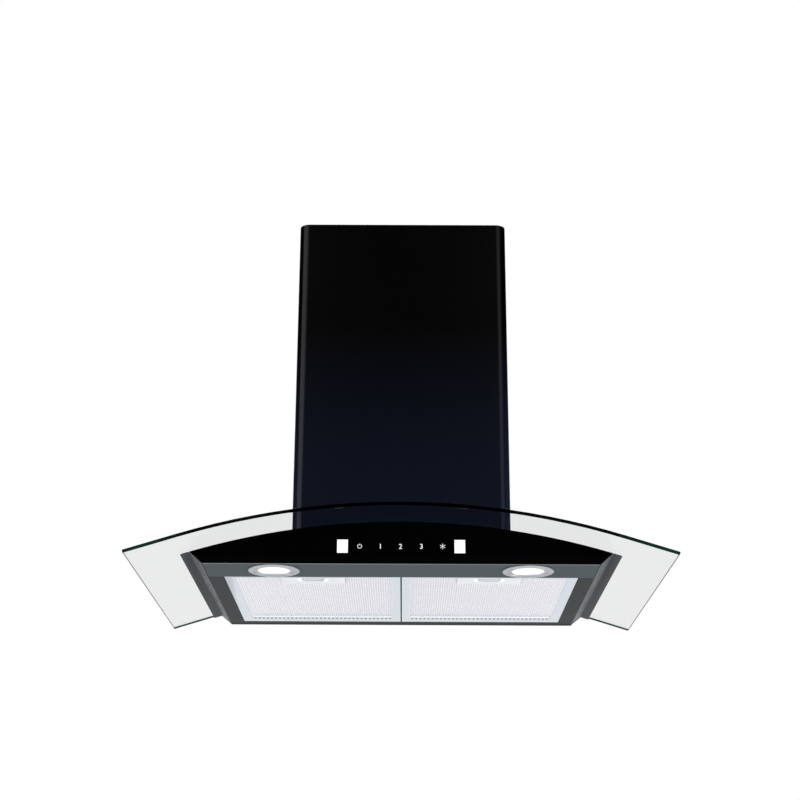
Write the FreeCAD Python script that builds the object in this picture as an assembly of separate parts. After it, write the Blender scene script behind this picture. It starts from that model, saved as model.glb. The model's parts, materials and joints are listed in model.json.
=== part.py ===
import FreeCAD, Part
import math
import os

# Wall-mounted range hood with a curved glass canopy, in millimetres, +Z up.
# The origin is on the wall, on the centre line, level with the underside of the body.
# X runs to the right, Y runs back into the wall, so the hood stands at negative Y.
# Depths "below the crown" are measured square to the curved top face of the glass.

V = FreeCAD.Vector

# ---- glass canopy
GLASS_WIDTH = 750.0
GLASS_DEPTH = 510.0
GLASS_THICKNESS = 5.0
GLASS_RADIUS = 1022.0
GLASS_ARC_MARGIN = 7.0
GLASS_CROWN = 65.0
SEAL_THICKNESS = 0.6
SEAL_CLEARANCE = 0.1
SEAL_WIDTH = 10.0
SEAL_MARGIN = 1.0

# ---- body
BODY_DEPTH = 426.0
BODY_CHIN_SETBACK = 8.0
BODY_CHIN_HEIGHT = 9.5
BODY_BOTTOM_HALF = 279.0
SIDE_FLARE = 17.0
SIDE_FLANGE = 12.5
SHEET = 1.0
SEAM = 0.2
BACK_GAP = 0.1
REAR_LIP_HEIGHT = 14.0

# ---- front panel and controls
PANEL_WALL = 2.5
PANEL_RIM = 3.0
PANEL_BOX_DEPTH = 8.7
PANEL_GLASS_GAP = 0.3
PANEL_BOSS_RADIUS = 4.0
PANEL_SCREW_OFFSET = 115.0
PANEL_SCREW_PITCH = 16.0
PANEL_SCREW_BITE = 3.2
BOARD_WIDTH = 200.0
BOARD_HEIGHT = 24.0
BOARD_THICKNESS = 1.6
BOARD_SLOT_WIDTH = 100.0
BOARD_SLOT_HEIGHT = 12.0
CHIP_SIZE = 12.0
CHIP_THICKNESS = 1.5
CONNECTOR_WIDTH = 40.0
CONNECTOR_HEIGHT = 8.0
CONTROL_HEIGHT = 24.2
KEY_PITCH = 29.0
WINDOW_OFFSET = 82.0
WINDOW_WIDTH = 15.0
WINDOW_HEIGHT = 19.0
WINDOW_CLEARANCE = 0.05

# ---- lamps
LAMP_INSET = 98.6
LAMP_SETBACK = 36.5
LAMP_BEZEL_RADIUS = 36.5
LAMP_BEZEL_HEIGHT = 1.0
LAMP_BEZEL_RIM = 4.0
LAMP_BEZEL_ROUNDING = 0.5
LAMP_DISH_DEPTH = 0.5
LAMP_SLEEVE_RADIUS = 32.5
LAMP_SLEEVE_WALL = 2.0
LAMP_SLEEVE_HEIGHT = 6.0
LAMP_GLOW_RADIUS = 23.0
LAMP_LENS_THICKNESS = 2.0
LAMP_GASKET = 0.4
LAMP_HOUSING_HEIGHT = 20.0
LAMP_HOUSING_WALL = 1.5
LAMP_BOARD_DROP = 7.0
LAMP_BOARD_THICKNESS = 2.0
LAMP_HOLE_CLEARANCE = 0.5

# ---- filters
UNDERSIDE_SIDE_BORDER = 22.5
UNDERSIDE_FRONT_BORDER = 85.0
OPENING_REAR = 26.0
LIP_HEIGHT = 12.0
FILTER_SIDE_GAP = 1.0
FILTER_END_GAP = 0.5
FILTER_HEIGHT = 9.0
FILTER_LIFT = 0.3
FILTER_SHEET = 1.0
FILTER_OUTER_RAIL = 15.0
FILTER_INNER_RAIL = 12.0
FILTER_FRONT_RAIL = 6.5
FILTER_REAR_RAIL = 27.0
MESH_PITCH = 3.5
MESH_AMPLITUDE = 1.6
MESH_SHEET = 0.6
MESH_LAP = 5.0
MESH_CLEARANCE = 0.3
DRAIN_RADIUS = 1.1
DRAIN_PITCH = 6.6
DRAIN_SETBACK = 2.2
TAB_WIDTH = 20.0
TAB_REACH = 8.0
TAB_OFFSET = 70.0
TAB_THICKNESS = 1.2

# ---- filter handle and latch
HANDLE_WIDTH = 94.0
HANDLE_DEPTH = 36.0
POCKET_WIDTH = 44.0
POCKET_HEIGHT = 7.5
POCKET_WALL = 1.2
POCKET_SETBACK = 9.7
HANDLE_TAIL_MARGIN = 4.0
HANDLE_TAIL_LAP = 4.0
LATCH_WIDTH = 24.0
LATCH_LENGTH = 12.0
LATCH_TRAVEL = 5.0
LATCH_CLEARANCE = 0.3
LATCH_RIB = 2.0
LATCH_RECESS = 0.4
LATCH_WINDOW_MARGIN = 1.0
TONGUE_WIDTH = 10.0
TONGUE_THICKNESS = 2.0
TONGUE_REACH = 4.0
TONGUE_LIFT = 3.8
POCKET_DEPTH = LATCH_LENGTH + LATCH_TRAVEL + 2 * LATCH_CLEARANCE

# ---- blower box through the glass
BOX_HALF_WIDTH = 130.0
BOX_DEPTH = 250.0
BOX_TOP = 330.0
BOX_FLANGE = 10.0
BOX_SCREW_SETBACK = 40.0
BOX_SCREW_LENGTH = 8.0
LID_SCREW_LENGTH = 6.0
GLASS_NOTCH_GAP = 7.5

# ---- clamps that hold the glass
CLAMP_PAD = 0.3
CLAMP_SHEET = 1.2
CLAMP_RISE = 16.0
CLAMP_WIDTH = 40.0
CLAMP_SCREW_PITCH = 24.0
CLAMP_SCREW_RISE = 9.6
CLAMP_SCREW_LENGTH = 6.0
CLAMP_COVER_GAP = 2.0
CLAMP_PAD_MARGIN = 1.0
CLAMP_NOTCH_MARGIN = 2.0

# ---- blower
AXLE_FRONT_SPACE = 94.0
AXLE_HEIGHT = 175.0
WHEEL_RADIUS = 65.0
WHEEL_HALF_WIDTH = 54.0
WHEEL_RING = 5.0
WHEEL_PLATE = 2.0
WHEEL_BLADES = 36
BLADE_DEPTH = 11.0
BLADE_THICKNESS = 0.9
BLADE_RIM = 0.5
BLADE_BOW = 2.4
HUB_RADIUS = 12.0
HUB_FIT = 0.02
VOLUTE_WALL = 2.0
VOLUTE_SIDE_GAP = 4.0
VOLUTE_TONGUE_GAP = 10.0
VOLUTE_GROWTH = 40.0
VOLUTE_TONGUE_ANGLE = 75.0
VOLUTE_FLANGE = 14.0
VOLUTE_ARCS = 4
INLET_RADIUS = 56.0
SHAFT_RADIUS = 4.0
SHAFT_CLEARANCE = 0.05
SHAFT_END = 2.0
SHAFT_TAIL = 6.0
MOTOR_RADIUS = 42.0
MOTOR_LENGTH = 62.0
MOTOR_HUB_GAP = 3.0
MOTOR_NOSE_RADIUS = 25.0
MOTOR_NOSE = 8.0
MOTOR_TAIL = 6.0
MOTOR_SLOTS = 12
MOTOR_SLOT_WIDTH = 4.0
MOTOR_SLOT_DEPTH = 2.0
MOTOR_SLOT_MARGIN = 6.0
MOTOR_SCREW_CIRCLE = 18.0
MOTOR_SCREW_BITE = 5.0
SPIDER_THICKNESS = 2.0
SPIDER_HUB_RADIUS = 30.0
SPIDER_ARM_WIDTH = 14.0
SPIDER_FOOT = 8.0
SPIDER_INLET_MARGIN = 1.0

# ---- electrics
CAPACITOR_RADIUS = 14.0
CAPACITOR_HEIGHT = 52.0
CAPACITOR_PIN_RADIUS = 1.5
CAPACITOR_PIN_HEIGHT = 7.0
CAPACITOR_PIN_PITCH = 10.0
CAPACITOR_FRONT_GAP = 8.0
CAPACITOR_RISE = 40.0
CLIP_SHEET = 1.2
CLIP_FIT = 0.1
CLIP_HEIGHT = 18.0
CLIP_RISE = 14.0
CLIP_PLATE_LENGTH = 28.0
CONTROL_BOX_DEPTH = 24.0
CONTROL_BOX_LENGTH = 100.0
CONTROL_BOX_HEIGHT = 120.0
CONTROL_BOX_WALL = 2.0
CONTROL_BOX_SETBACK = 50.0
CONTROL_BOX_BOTTOM = 125.0
BOARD_POST_RADIUS = 3.0
BOARD_POST_HEIGHT = 6.0
BOARD_POST_INSET = 10.0
BOARD_EDGE_GAP = 2.0
TRANSFORMER = (10.0, 24.0, 26.0)
RELAY = (8.0, 18.0, 14.0)
RELAY_PITCH = 18.0
RELAYS = 3
TERMINALS = (9.0, 12.0, 70.0)
GLAND_BORE_RADIUS = 3.5
GLAND_BODY_RADIUS = 9.0
GLAND_HEX = 22.0
GLAND_FLANGE = 6.0
GLAND_HEIGHT = 16.0
GLAND_ROUNDING = 3.0
GLAND_THREAD_RADIUS = 7.0
GLAND_THREAD_LENGTH = 9.0
GLAND_NUT_HEIGHT = 5.0
GLAND_SIDE_INSET = 25.0
GLAND_FRONT_INSET = 35.0

# ---- outlet collar and damper
COLLAR_RADIUS = 74.5
COLLAR_WALL = 2.5
COLLAR_HEIGHT = 62.0
COLLAR_BASE = 2.0
COLLAR_BASE_MARGIN = 9.0
COLLAR_SCREW_END = 2.0
FLAP_HEIGHT = 35.0
FLAP_GAP = 1.0
FLAP_THICKNESS = 1.2
FLAP_PIVOT_OFFSET = 4.0
FLAP_PIN_RADIUS = 2.0
FLAP_PIN_CLEARANCE = 0.06
FLAP_LUG_WIDTH = 10.0
FLAP_LUG_REACH = 4.0
FLAP_LUG_HEIGHT = 3.3
FLAP_LUG_GAP = 0.1

# ---- chimney
COVER_SIDE_SPACE = 35.0
COVER_FRONT_SPACE = 30.0
CHIMNEY_TOP = 593.0
CHIMNEY_CORNER = 16.0
CHIMNEY_SHEET = 1.0
CHIMNEY_RETURN = 15.0
CHIMNEY_GLASS_GAP = 0.3
COVER_GAP = 1.2
COVER_BACK_GAP = 0.4
COVER_SCREW_END = 1.5
UPPER_COVER_BOTTOM = 86.3
UPPER_COVER_RECESS = 1.0
UPPER_RETURN = 24.0
REST_THICKNESS = 1.5
REST_DEPTH = 20.0
REST_FOOT = 20.0
REST_SETBACK = 60.0
REST_GAP = 0.3
REST_SCREW_END = 4.0
BRACKET_HEIGHT = 30.0
BRACKET_SHEET = 1.1
BRACKET_DROP = 8.0
BRACKET_END = 22.0
BRACKET_SCREW_INSET = 7.0
BRACKET_SCREW_MARGIN = 5.0
BRACKET_SCREW_END = 4.0
BRACKET_HOLE_SPACING = 200.0
BRACKET_SCREW_HEAD_RADIUS = 2.5
BRACKET_SCREW_HEAD = 0.9

# ---- screws and wall fixing
SCREW_RADIUS = 2.0
SCREW_HEAD_RADIUS = 3.5
SCREW_HEAD_HEIGHT = 2.2
SCREW_CLEARANCE = 0.2
SCREW_END_GAP = 0.5
SCREW_ROUNDING = 0.9
HEAD_SEAT = 0.05
KEYHOLE_SPACING = 180.0
KEYHOLE_HEIGHT = 285.0
KEYHOLE_ENTRY_RADIUS = 5.5
KEYHOLE_SLOT_RADIUS = 2.75
KEYHOLE_LENGTH = 12.0
WALL_HOLE_SPACING = 340.0
WALL_HOLE_HEIGHT = 28.0
WALL_HOLE_RADIUS = 3.0

# ---- worked out from the sizes above
BODY_TOP_HALF = BODY_BOTTOM_HALF + SIDE_FLARE
GLASS_ARC_HALF = BODY_TOP_HALF + GLASS_ARC_MARGIN
LAMP_OFFSET = BODY_BOTTOM_HALF - LAMP_INSET
OPENING_HALF_WIDTH = BODY_BOTTOM_HALF - UNDERSIDE_SIDE_BORDER
OPENING_FRONT = BODY_DEPTH - UNDERSIDE_FRONT_BORDER
CHIMNEY_WIDTH = 2 * (BOX_HALF_WIDTH + COVER_SIDE_SPACE)
CHIMNEY_DEPTH = BOX_DEPTH + COVER_FRONT_SPACE
AXLE_DEPTH = BOX_DEPTH - AXLE_FRONT_SPACE
ARC_ANGLE = math.asin(GLASS_ARC_HALF / GLASS_RADIUS)
ARC_CENTRE = GLASS_CROWN - GLASS_RADIUS
END_RUN = (GLASS_WIDTH / 2 - GLASS_ARC_HALF) / math.cos(ARC_ANGLE)
SEAL_TOP = GLASS_THICKNESS + SEAL_CLEARANCE
SEAL_BOTTOM = SEAL_TOP + SEAL_THICKNESS
DECK_TOP = SEAL_BOTTOM + SEAL_CLEARANCE
DECK_BOTTOM = DECK_TOP + SHEET
PANEL_TOP = GLASS_THICKNESS + PANEL_GLASS_GAP
ABOVE_ALL = BOX_TOP + CHIMNEY_TOP
BELOW_ALL = -GLASS_CROWN
PAST = 1.0


# ---------------------------------------------------------------- helpers

def block(x0, x1, y0, y1, z0, z1):
    """Box between two corners."""
    return Part.makeBox(x1 - x0, y1 - y0, z1 - z0, V(x0, y0, z0))


def rod(radius, start, end):
    """Round bar from one point to another."""
    along = end.sub(start)
    return Part.makeCylinder(radius, along.Length, start, along)


def tube(outer, inner, start, end):
    """Round tube from one point to another."""
    return rod(outer, start, end).cut(rod(inner, start, end))


def polygon(points):
    """Flat face with straight sides."""
    return Part.Face(Part.makePolygon(points + points[:1]))


def along_y(points, y0, y1):
    """Prism along Y from (x, z) corners."""
    return polygon([V(x, y0, z) for x, z in points]).extrude(V(0, y1 - y0, 0))


def along_x(points, x0, x1):
    """Prism along X from (y, z) corners."""
    return polygon([V(x0, y, z) for y, z in points]).extrude(V(x1 - x0, 0, 0))


def mirrored(shape):
    """The same shape on the other side of the centre line."""
    return shape.mirror(V(0, 0, 0), V(1, 0, 0))


def screw(seat, direction, length):
    """Pan-head screw: its head stands on the seat, its shank runs along the direction."""
    along = V(direction).normalize()
    head = rod(SCREW_HEAD_RADIUS, seat, seat - along * SCREW_HEAD_HEIGHT)
    head = head.makeFillet(SCREW_ROUNDING, [top_rim(head, seat - along * SCREW_HEAD_HEIGHT)])
    return head.fuse(rod(SCREW_RADIUS, seat, seat + along * length)).removeSplitter()


def top_rim(cylinder, centre):
    """The round edge of a cylinder that is centred on a point."""
    rims = [edge for edge in cylinder.Edges if isinstance(edge.Curve, Part.Circle)]
    return min(rims, key=lambda edge: edge.Curve.Center.sub(centre).Length)


def screw_hole(point, direction, reach):
    """Clearance hole for a screw, reaching as far to both sides of a point."""
    along = V(direction).normalize() * reach
    return rod(SCREW_RADIUS + SCREW_CLEARANCE, point - along, point + along)


# ---------------------------------------------------------------- curved crown

def crown_point(depth, run, side):
    """Point below the crown, a run past the end of its arc, on one side."""
    radius = GLASS_RADIUS - depth
    x = radius * math.sin(ARC_ANGLE) + run * math.cos(ARC_ANGLE)
    z = ARC_CENTRE + radius * math.cos(ARC_ANGLE) - run * math.sin(ARC_ANGLE)
    return V(side * x, 0, z)


def crown_height(depth, x):
    """Height of the curve at a distance from the centre line."""
    radius = GLASS_RADIUS - depth
    arc_half = radius * math.sin(ARC_ANGLE)
    if abs(x) <= arc_half:
        return ARC_CENTRE + math.sqrt(radius ** 2 - x ** 2)
    return ARC_CENTRE + radius * math.cos(ARC_ANGLE) - (abs(x) - arc_half) * math.tan(ARC_ANGLE)


def crown_run(depth, x):
    """Run past the end of the arc that ends at a distance from the centre line."""
    return (x - (GLASS_RADIUS - depth) * math.sin(ARC_ANGLE)) / math.cos(ARC_ANGLE)


def crown_edges(depth, run):
    """Left straight, arc and right straight of the curve."""
    left, right = crown_point(depth, run, -1), crown_point(depth, run, 1)
    left_joint, right_joint = crown_point(depth, 0, -1), crown_point(depth, 0, 1)
    top = V(0, 0, GLASS_CROWN - depth)
    return [
        Part.LineSegment(left, left_joint).toShape(),
        Part.Arc(left_joint, top, right_joint).toShape(),
        Part.LineSegment(right_joint, right).toShape(),
    ]


def section_along_y(edges, y0, y1):
    """Prism along Y from edges that close in the XZ plane."""
    wire = Part.Wire(Part.__sortEdges__(edges))
    solid = Part.Face(wire).extrude(V(0, y1 - y0, 0))
    solid.translate(V(0, y0, 0))
    return solid


def crown_band(upper, lower, y0, y1, run=END_RUN):
    """Curved sheet between two depths below the crown, its ends square to it."""
    ends = [
        Part.LineSegment(crown_point(upper, run, side), crown_point(lower, run, side)).toShape()
        for side in (-1, 1)
    ]
    return section_along_y(crown_edges(upper, run) + crown_edges(lower, run) + ends, y0, y1)


def crown_side(depth, level, y0, y1):
    """Everything between the curve and a level above or below it."""
    left, right = crown_point(depth, END_RUN, -1), crown_point(depth, END_RUN, 1)
    corners = [left, V(left.x, 0, level), V(right.x, 0, level), right]
    sides = [Part.LineSegment(a, b).toShape() for a, b in zip(corners, corners[1:])]
    return section_along_y(crown_edges(depth, END_RUN) + sides, y0, y1)


# ---------------------------------------------------------------- body sections

SIDE_SLOPE = (BODY_TOP_HALF - BODY_BOTTOM_HALF) / crown_height(DECK_BOTTOM, BODY_TOP_HALF)


def body_half(height, inset=0.0):
    """Half width of the body at a height, an inset inside its sloping side."""
    return BODY_BOTTOM_HALF + SIDE_SLOPE * height - inset * math.hypot(1, SIDE_SLOPE)


def body_prism(inset, floor, y0, y1):
    """The body's cross-section inside its sloping sides, from a floor upwards."""
    top = GLASS_CROWN
    low, high = body_half(floor, inset), body_half(top, inset)
    return along_y([(-low, floor), (low, floor), (high, top), (-high, top)], y0, y1)


def front_prism(inset, floor, back):
    """Everything behind the front profile, from a floor upwards to a plane at the back."""
    face = -BODY_DEPTH + inset
    chin_slope = BODY_CHIN_SETBACK / BODY_CHIN_HEIGHT
    chin = face + chin_slope * (BODY_CHIN_HEIGHT - floor)
    corners = [(chin, floor), (face, BODY_CHIN_HEIGHT), (face, GLASS_CROWN)]
    corners += [(back, GLASS_CROWN), (back, floor)]
    return along_x(corners, -GLASS_WIDTH / 2, GLASS_WIDTH / 2)


PANEL_BACK = -BODY_DEPTH + PANEL_BOX_DEPTH
FRONT_WALL_FACE = PANEL_BACK + SEAM
LAMP_Y = -BODY_DEPTH + BODY_CHIN_SETBACK + LAMP_SETBACK
REAR_PLANE = -SHEET
BOX_FRONT = -BOX_DEPTH
BOX_BACK = REAR_PLANE - BACK_GAP
AXLE = V(0, -AXLE_DEPTH, AXLE_HEIGHT)


def box_opening(inset):
    """Upright prism of the blower box's plan, an inset inside its walls."""
    half = BOX_HALF_WIDTH - inset
    return block(-half, half, BOX_FRONT + inset, BOX_BACK - inset, BELOW_ALL, BOX_TOP)


# ---------------------------------------------------------------- glass

def glass_notch():
    """Cut-out at the back of the glass for the blower box."""
    half = BOX_HALF_WIDTH + GLASS_NOTCH_GAP
    return block(-half, half, BOX_FRONT - GLASS_NOTCH_GAP, 1, BELOW_ALL, BOX_TOP)


def make_glass():
    """Curved glass sheet with its notch."""
    return crown_band(0, GLASS_THICKNESS, -GLASS_DEPTH, 0).cut(glass_notch())


def make_glass_seals():
    """Foam strips that bed the glass on the side flanges and the front of the deck."""
    edge = BODY_TOP_HALF + SIDE_FLANGE - SEAL_MARGIN
    back = BOX_BACK - SEAL_MARGIN
    band = crown_band(SEAL_TOP, SEAL_BOTTOM, -BODY_DEPTH + SEAL_MARGIN, back, crown_run(SEAL_TOP, edge))
    inner = edge - SEAL_WIDTH
    sides = band.cut(block(-inner, inner, -GLASS_DEPTH, 0, BELOW_ALL, BOX_TOP))
    front = FRONT_WALL_FACE + SHEET
    half = inner - SEAL_MARGIN
    across = band.common(block(-half, half, front, front + SEAL_WIDTH, BELOW_ALL, BOX_TOP))
    return Part.makeCompound(sides.Solids + across.Solids)


# ---------------------------------------------------------------- body sheet

def filter_openings():
    """The one opening in the underside that both filters fill."""
    half = OPENING_HALF_WIDTH
    return block(-half, half, -OPENING_FRONT, -OPENING_REAR, -PAST, LIP_HEIGHT + PAST)


def make_body_tray():
    """Folded sheet: both sloping sides, the underside beside and behind the filters, and the lips."""
    back = REAR_PLANE - BACK_GAP
    below_deck = crown_side(DECK_BOTTOM, BELOW_ALL, -BODY_DEPTH, back)
    outer = body_prism(0, 0, -BODY_DEPTH, back).common(below_deck)
    shell = outer.cut(body_prism(SHEET, SHEET, -BODY_DEPTH - PAST, PAST)).common(front_prism(0, 0, back))
    edge = OPENING_HALF_WIDTH
    side_lip = block(edge, edge + SHEET, -OPENING_FRONT, -OPENING_REAR, 0, LIP_HEIGHT)
    rear_lip = block(-body_half(0), body_half(0), back - SHEET, back, 0, REAR_LIP_HEIGHT)
    shell = shell.fuse([side_lip, mirrored(side_lip), rear_lip])
    strip = BODY_BOTTOM_HALF - SHEET
    lamp_panel_room = block(-strip, strip, -BODY_DEPTH - PAST, -OPENING_FRONT, -PAST, SHEET + SEAM)
    return shell.cut(filter_openings()).cut(lamp_panel_room).removeSplitter()


def lamp_hole(side):
    """Round hole in the underside for one lamp."""
    radius = LAMP_SLEEVE_RADIUS + LAMP_HOLE_CLEARANCE
    return rod(radius, V(side * LAMP_OFFSET, LAMP_Y, -PAST), V(side * LAMP_OFFSET, LAMP_Y, SHEET + PAST))


def latch_window(side):
    """Slot in the lip at the filters' front edge, where a latch tongue reaches in."""
    middle = side * filter_middle()
    half = TONGUE_WIDTH / 2 + LATCH_WINDOW_MARGIN
    low, high = tongue_levels()
    low, high = low - LATCH_WINDOW_MARGIN, high + LATCH_WINDOW_MARGIN
    front, back = -OPENING_FRONT - SEAM - SHEET - PAST, -OPENING_FRONT
    return block(middle - half, middle + half, front, back, low, high)


def make_lamp_panel():
    """Strip of the underside in front of the filters, folded up at its front and rear edges."""
    half = BODY_BOTTOM_HALF - SHEET - SEAM
    back = -OPENING_FRONT - SEAM
    floor = block(-half, half, -BODY_DEPTH, back, 0, SHEET).common(front_prism(0, 0, 0))
    lip_half = OPENING_HALF_WIDTH
    rear_lip = block(-lip_half, lip_half, back - SHEET, back, 0, LIP_HEIGHT)
    wall = block(-BODY_TOP_HALF, BODY_TOP_HALF, FRONT_WALL_FACE, FRONT_WALL_FACE + SHEET, 0, GLASS_CROWN)
    wall = wall.common(crown_side(DECK_BOTTOM + SEAM, BELOW_ALL, -BODY_DEPTH, 0))
    wall = wall.common(body_prism(SHEET + SEAM, SHEET, -BODY_DEPTH, 0)).cut(board_cable_slot())
    panel = floor.fuse([rear_lip, wall])
    for side in (-1, 1):
        panel = panel.cut(lamp_hole(side)).cut(latch_window(side))
        for height in panel_screw_heights():
            panel = panel.cut(screw_hole(panel_screw_seat(side, height), V(0, 1, 0), PANEL_BOX_DEPTH))
    return panel.removeSplitter()


def make_top_deck():
    """Curved deck under the glass; its ends stand out past the sloping sides as flanges."""
    run = crown_run(DECK_TOP, BODY_TOP_HALF + SIDE_FLANGE)
    deck = crown_band(DECK_TOP, DECK_BOTTOM, -BODY_DEPTH, BOX_BACK, run)
    half = body_half(crown_height(PANEL_TOP, BODY_TOP_HALF), SHEET + SEAM) + SEAM
    panel_room = block(-half, half, -BODY_DEPTH - 1, FRONT_WALL_FACE, BELOW_ALL, GLASS_CROWN)
    deck = deck.cut(panel_room).cut(box_opening(BOX_FLANGE))
    for seat in box_screw_seats():
        deck = deck.cut(screw_hole(seat, V(0, 0, 1), BOX_SCREW_LENGTH))
    return deck


def keyhole(x):
    """Keyhole in the back panel: a round entry with a narrow slot above it."""
    entry = rod(KEYHOLE_ENTRY_RADIUS, V(x, -2 * SHEET, KEYHOLE_HEIGHT), V(x, 1, KEYHOLE_HEIGHT))
    top = KEYHOLE_HEIGHT + KEYHOLE_LENGTH
    slot = block(x - KEYHOLE_SLOT_RADIUS, x + KEYHOLE_SLOT_RADIUS, -2 * SHEET, 1, KEYHOLE_HEIGHT, top)
    return entry.fuse([slot, rod(KEYHOLE_SLOT_RADIUS, V(x, -2 * SHEET, top), V(x, 1, top))])


def make_back_panel():
    """Flat back sheet: the body's outline below the glass and the back of the blower box above it."""
    low = body_prism(0, 0, REAR_PLANE, 0).common(crown_side(PANEL_TOP, BELOW_ALL, REAR_PLANE, 0))
    high = block(-BOX_HALF_WIDTH, BOX_HALF_WIDTH, REAR_PLANE, 0, 0, BOX_TOP)
    panel = low.fuse(high)
    for side in (-1, 1):
        panel = panel.cut(keyhole(side * KEYHOLE_SPACING / 2))
        hole = V(side * WALL_HOLE_SPACING / 2, 0, WALL_HOLE_HEIGHT)
        panel = panel.cut(rod(WALL_HOLE_RADIUS, hole - V(0, 2 * SHEET, 0), hole + V(0, PAST, 0)))
    return panel.removeSplitter()


# ---------------------------------------------------------------- front panel and controls

def window_cut(side, clearance):
    """Prism of one indicator window, grown by a clearance all round."""
    half = WINDOW_WIDTH / 2 + clearance
    middle = side * WINDOW_OFFSET
    rise = WINDOW_HEIGHT / 2 + clearance
    low, high = CONTROL_HEIGHT - rise, CONTROL_HEIGHT + rise
    return block(middle - half, middle + half, -BODY_DEPTH, -BODY_DEPTH + PANEL_WALL, low, high)


def make_front_panel():
    """Black panel across the front: a shallow box with an arched top and a chin that leans back."""
    floor = SHEET + SEAM
    side_inset = SHEET + SEAM
    outer = front_prism(0, floor, PANEL_BACK).common(body_prism(side_inset, floor, -BODY_DEPTH, 0))
    outer = outer.common(crown_side(PANEL_TOP, BELOW_ALL, -BODY_DEPTH, 0))
    hollow = front_prism(PANEL_WALL, floor + PANEL_RIM, 0)
    hollow = hollow.common(body_prism(side_inset + PANEL_RIM, floor + PANEL_RIM, -BODY_DEPTH, 0))
    hollow = hollow.common(crown_side(PANEL_TOP + PANEL_RIM, BELOW_ALL, -BODY_DEPTH, 0))
    panel = outer.cut(hollow)
    for side in (-1, 1):
        panel = panel.cut(window_cut(side, WINDOW_CLEARANCE))
        for height in panel_screw_heights():
            seat = panel_screw_seat(side, height)
            boss_front = V(seat.x, -BODY_DEPTH + PANEL_WALL / 2, height)
            panel = panel.fuse(rod(PANEL_BOSS_RADIUS, boss_front, V(seat.x, PANEL_BACK, height)))
            hole_start = V(seat.x, PANEL_BACK - PANEL_SCREW_BITE - SCREW_END_GAP, height)
            panel = panel.cut(rod(SCREW_RADIUS + SCREW_CLEARANCE, hole_start, V(seat.x, 0, height)))
    return panel.removeSplitter()


def panel_screw_heights():
    """Heights of the screws that hold the front panel to the wall behind it."""
    return [CONTROL_HEIGHT - PANEL_SCREW_PITCH / 2, CONTROL_HEIGHT + PANEL_SCREW_PITCH / 2]


def panel_screw_seat(side, height):
    """Where a front panel screw's head sits, inside the body."""
    return V(side * PANEL_SCREW_OFFSET, FRONT_WALL_FACE + SHEET + HEAD_SEAT, height)


def make_panel_screws():
    """Screws from inside the body into the front panel's bosses."""
    length = HEAD_SEAT + SHEET + SEAM + PANEL_SCREW_BITE
    seats = [panel_screw_seat(side, height) for side in (-1, 1) for height in panel_screw_heights()]
    return Part.makeCompound([screw(seat, V(0, -1, 0), length) for seat in seats])


def board_cable_slot():
    """Slot in the wall behind the controls for their cable."""
    half = BOARD_SLOT_WIDTH / 2
    low = CONTROL_HEIGHT - BOARD_SLOT_HEIGHT / 2
    return block(-half, half, -BODY_DEPTH, 0, low, low + BOARD_SLOT_HEIGHT)


def make_touch_board():
    """Control board behind the front panel: chip, connector and one touch spring per key."""
    face = -BODY_DEPTH + PANEL_WALL + SEAM
    half = BOARD_WIDTH / 2
    low = CONTROL_HEIGHT - BOARD_HEIGHT / 2
    board = block(-half, half, face, face + BOARD_THICKNESS, low, low + BOARD_HEIGHT)
    back = face + BOARD_THICKNESS
    chip_x = -half + KEY_PITCH
    chip_low = CONTROL_HEIGHT - CHIP_SIZE / 2
    plug_low = CONTROL_HEIGHT - CONNECTOR_HEIGHT / 2
    plug_half = CONNECTOR_WIDTH / 2
    bumps = [block(chip_x, chip_x + CHIP_SIZE, back, back + CHIP_THICKNESS, chip_low, chip_low + CHIP_SIZE)]
    bumps.append(block(-plug_half, plug_half, back, PANEL_BACK, plug_low, plug_low + CONNECTOR_HEIGHT))
    for index in range(-2, 3):
        key = V(index * KEY_PITCH, back, low + SCREW_HEAD_RADIUS)
        bumps.append(rod(SCREW_RADIUS, key, key + V(0, CHIP_THICKNESS, 0)))
    return board.fuse(bumps).removeSplitter()


# ---------------------------------------------------------------- lamps

def turned(points, centre):
    """Ring or disc turned about a vertical axis from (radius, height) corners."""
    face = polygon([centre + V(radius, 0, height) for radius, height in points])
    return face.revolve(centre, V(0, 0, 1), 360)


def lamp_centre(side):
    """Centre of one lamp on the underside."""
    return V(side * LAMP_OFFSET, LAMP_Y, 0)


def make_lamp_gasket(side):
    """Thin dark ring between the bezel and the underside."""
    low, high = -LAMP_GASKET, -SEAM / 2
    inner, outer = LAMP_SLEEVE_RADIUS + LAMP_HOLE_CLEARANCE, LAMP_BEZEL_RADIUS
    return turned([(inner, low), (outer, low), (outer, high), (inner, high)], lamp_centre(side))


def make_lamp_bezel(side):
    """Dished metal ring with the sleeve that reaches up through the hole."""
    top = -LAMP_GASKET - SEAM / 2
    low = top - LAMP_BEZEL_HEIGHT
    ledge = low + LAMP_DISH_DEPTH
    sleeve_inner = LAMP_SLEEVE_RADIUS - LAMP_SLEEVE_WALL
    outline = [
        (LAMP_GLOW_RADIUS, ledge),
        (LAMP_BEZEL_RADIUS - LAMP_BEZEL_RIM, low),
        (LAMP_BEZEL_RADIUS - LAMP_BEZEL_ROUNDING, low),
        (LAMP_BEZEL_RADIUS, low + LAMP_BEZEL_ROUNDING),
        (LAMP_BEZEL_RADIUS, top),
        (LAMP_SLEEVE_RADIUS, top),
        (LAMP_SLEEVE_RADIUS, LAMP_SLEEVE_HEIGHT),
        (sleeve_inner, LAMP_SLEEVE_HEIGHT),
        (sleeve_inner, top),
        (LAMP_GLOW_RADIUS, top),
    ]
    return turned(outline, lamp_centre(side))


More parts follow.
